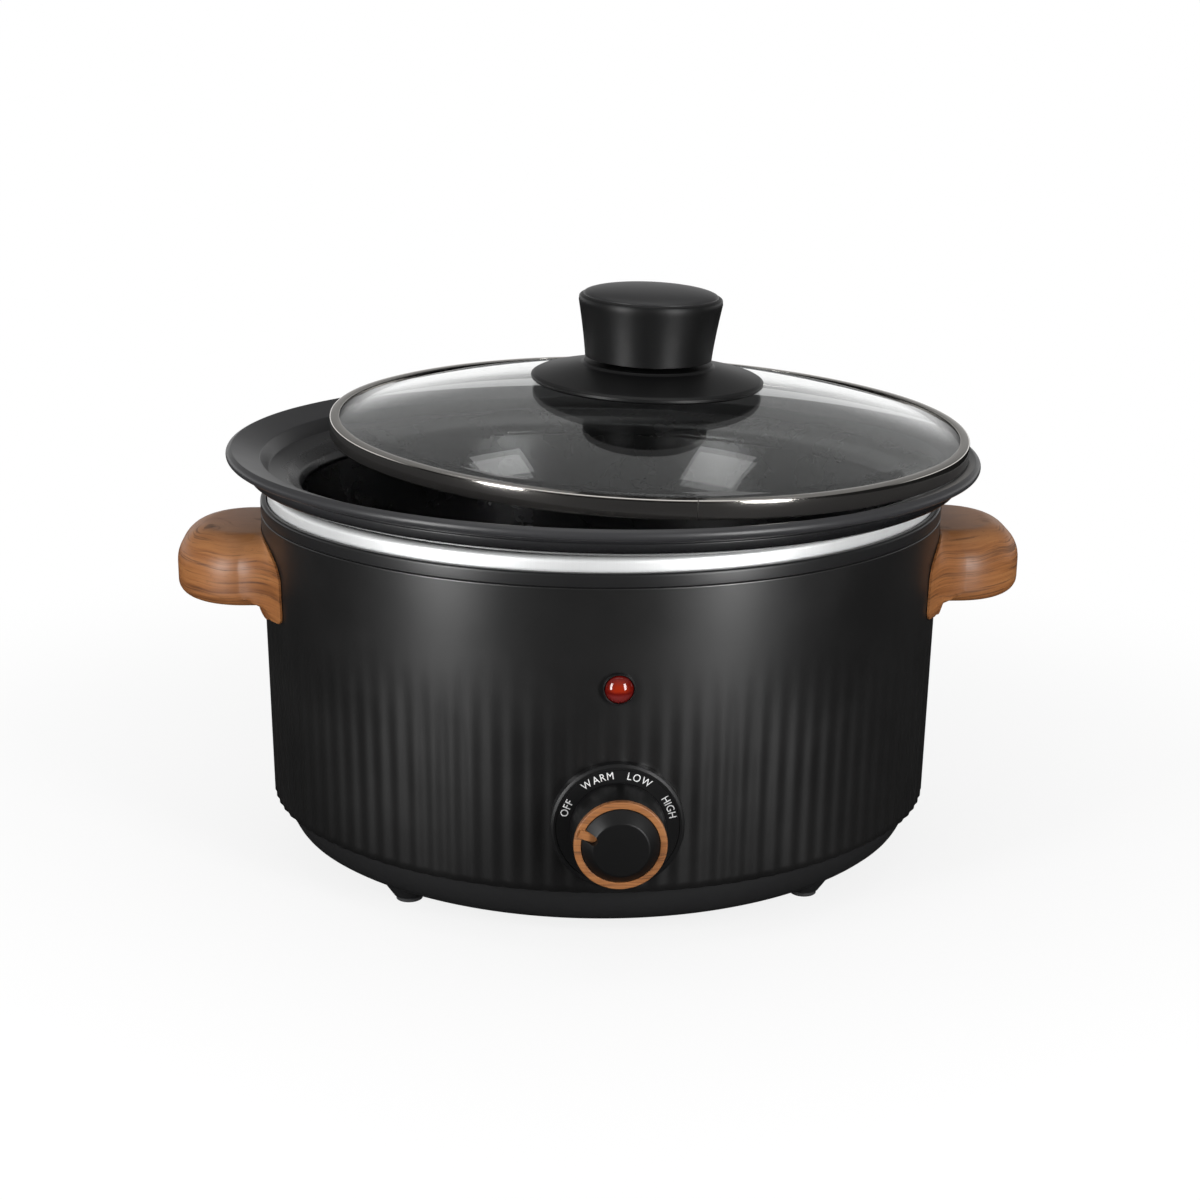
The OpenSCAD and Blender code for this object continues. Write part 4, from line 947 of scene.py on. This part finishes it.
def makeKnob():
    edge, radius, waist, top = lid["dome"] + 0.4, lid["skirt"] / 2, lid["waist"] / 2, lid["top"] / 2
    collar, collarZ = waist + 0.9, edge + lid["collar"]
    skirt = lathe("knobSkirt", rounded([
        (2.8, edge - 0.1), (20, edge - 0.1, 4), (radius - 8, edge - 1), (radius - 0.8, edge - 1.3, 0.4),
        (radius, edge - 0.6, 0.4), (radius, edge + 0.6, 0.5), (radius - 1.4, edge + 1.4, 0.9),
        (collar + 4, edge + 5.3, 4), (collar + 0.8, edge + 6, 1.2), (collar, edge + 6.6, 0.4),
        (collar - 0.4, collarZ, 0.3), (2.8, collarZ)]), knobPlace, 160)
    dress(skirt, "lid", "knob_plastic", "lid_knob_skirt")
    low, high, steps = collarZ + 0.1, edge + lid["knob"], 14
    capRadius, capFoot = top - 1.8, high + 0.7
    side = [(waist + (top - waist) * t ** 1.3, low + 0.3 + (high - 2.3 - low) * t)
            for t in (k / steps for k in range(1, steps + 1))]
    recess = [(capRadius + 0.1, high + 0.6), (capRadius + 0.1, high - 2.5), (6, high - 2.5), (6, high - 8),
              (2.55, high - 8)]
    body = lathe("knobBody", rounded([(2.55, low), (waist, low, 0.25)]) + side
                 + arcPoints(top - 1.6, high - 1, 1.6, 25, 90, 6) + recess, knobPlace, 160)
    dress(body, "lid", "knob_plastic", "lid_knob")
    crown = [(capRadius * math.cos(math.pi / 2 * t), capFoot + lid["capRise"] * math.sin(math.pi / 2 * t))
             for t in (k / steps for k in range(1, steps))] + [(0.0, capFoot + lid["capRise"])]
    cap = lathe("knobCap", [(0.0, high - 2.4), (capRadius, high - 2.4), (capRadius, capFoot)] + crown, knobPlace, 160)
    # painted light: the crown gets the lighter painted copy of the knob plastic
    dress(cap, "lid", "knob_plastic", "lid_knob_cap", material=crownPaintedLighter)


makeGlass()
makeBand()
makeKnob()
print("lid made")

studio = {  # tones of floor and world, and the distances in metres between which the floor turns white
    "floorHalf": 4.0, "floorTone": 0.93, "floorBounce": 0.5, "floorMirrored": 0.02, "nearClear": 0.2, "farClear": 0.5,
    "lift": 0.82, "ambient": 0.4, "backdrop": 1.1, "ceiling": 0.2, "frontLow": 0.008, "frontHigh": 0.25,
    "throughGlass": 0.55}
white = (1, 1, 1, 1)


def emptyTree(owner):
    owner.use_nodes = True
    owner.node_tree.nodes.clear()
    return Field(owner.node_tree)


def rayKind(field, kind):
    return field.node("ShaderNodeLightPath", output=f"Is {kind} Ray")


def makeFloor():
    size = studio["floorHalf"]
    mesh = bpy.data.meshes.new("floor")
    mesh.from_pydata([(-size, -size, 0), (size, -size, 0), (size, size, 0), (-size, size, 0)], [], [(0, 1, 2, 3)])
    floor = bpy.data.objects.new("floor", mesh)
    bpy.context.scene.collection.objects.link(floor)
    material = bpy.data.materials.new("paleFloor")
    field = emptyTree(material)
    seen = rayKind(field, "Camera")
    tone, bounce, reflected = ((studio[key],) * 3 + (1,) for key in ("floorTone", "floorBounce", "floorMirrored"))
    paint = rayKind(field, "Glossy").blend(bounce, reflected)
    matte = field.node("ShaderNodeBsdfDiffuse", {}, {"Color": seen.blend(paint, tone)})
    glow = field.node("ShaderNodeEmission", {}, {"Color": white, "Strength": 1.0})
    spot = objectSpace(field)
    far = spot.node("ShaderNodeVectorMath", {"operation": "LENGTH"}, {0: spot}, "Value").ease(
        studio["nearClear"], studio["farClear"])
    through = rayKind(field, "Transmission") * far * studio["throughGlass"]
    clear = (far * (1 - studio["lift"]) + studio["lift"]) * seen + through
    mixed = field.node("ShaderNodeMixShader", {}, {0: clear.clamp(), 1: matte, 2: glow})
    field.node("ShaderNodeOutputMaterial", {}, {"Surface": mixed}, None)
    mesh.materials.append(material)


def makeWorld():
    world = bpy.data.worlds.new("studio")
    bpy.context.scene.world = world
    field = emptyTree(world)
    direct, glossy, through = (rayKind(field, kind) for kind in ("Camera", "Glossy", "Transmission"))
    seen = (direct + glossy + through).clamp()
    toward = field.node("ShaderNodeTexCoord", output="Generated")
    height, depth = toward.part("Z"), toward.part("Y")
    rear = studio["backdrop"] - height.ease(0.08, 0.32) * (studio["backdrop"] - studio["ceiling"])
    front = height.ease(0.2, 0.8) * (studio["frontHigh"] - studio["frontLow"]) + studio["frontLow"]
    behind = depth.ease(-0.15, 0.25)
    level = rear * behind + front * (1 - behind)
    plainSight = (direct + through * behind * studio["throughGlass"]).clamp()
    mirrored = plainSight * (1 - level) + level
    plain = field.node("ShaderNodeBackground", {}, {"Color": white, "Strength": studio["ambient"]})
    bright = field.node("ShaderNodeBackground", {}, {"Color": white, "Strength": mirrored})
    mixed = field.node("ShaderNodeMixShader", {}, {0: seen, 1: plain, 2: bright})
    field.node("ShaderNodeOutputWorld", {}, {"Surface": mixed}, None)


lamps = {  # place, aimed at, width, height (metres), power
    "stripLeft": ((-0.577, -0.522, 0.25), (0, 0, 0.14), 0.18, 0.5, 4.2),
    "stripRight": ((0.45, -0.637, 0.25), (0, 0, 0.14), 0.18, 0.5, 4.2),
    "softTop": ((0.0, 0.1, 1.7), (0, 0, 0.1), 1.4, 1.4, 5),
    "rearLeft": ((-0.202, 1.052, 1.313), (-0.043, -0.085, 0.188), 0.12, 0.19, 0.08),
    "rearRight": ((0.328, 1.005, 1.327), (0.039, -0.091, 0.188), 0.14, 0.27, 0.11),
}


def makeLamps():
    for name, (place, aim, width, height, power) in lamps.items():
        data = bpy.data.lights.new(name, "AREA")
        data.shape, data.size, data.size_y, data.energy = "RECTANGLE", width, height, power
        made = bpy.data.objects.new(name, data)
        made.location = place
        made.visible_camera = False
        made.rotation_euler = (Vector(aim) - Vector(place)).to_track_quat("-Z", "Y").to_euler()
        bpy.context.scene.collection.objects.link(made)


makeFloor()
makeWorld()
makeLamps()
bpy.context.scene.view_settings.view_transform = "Standard"

print("scene made")
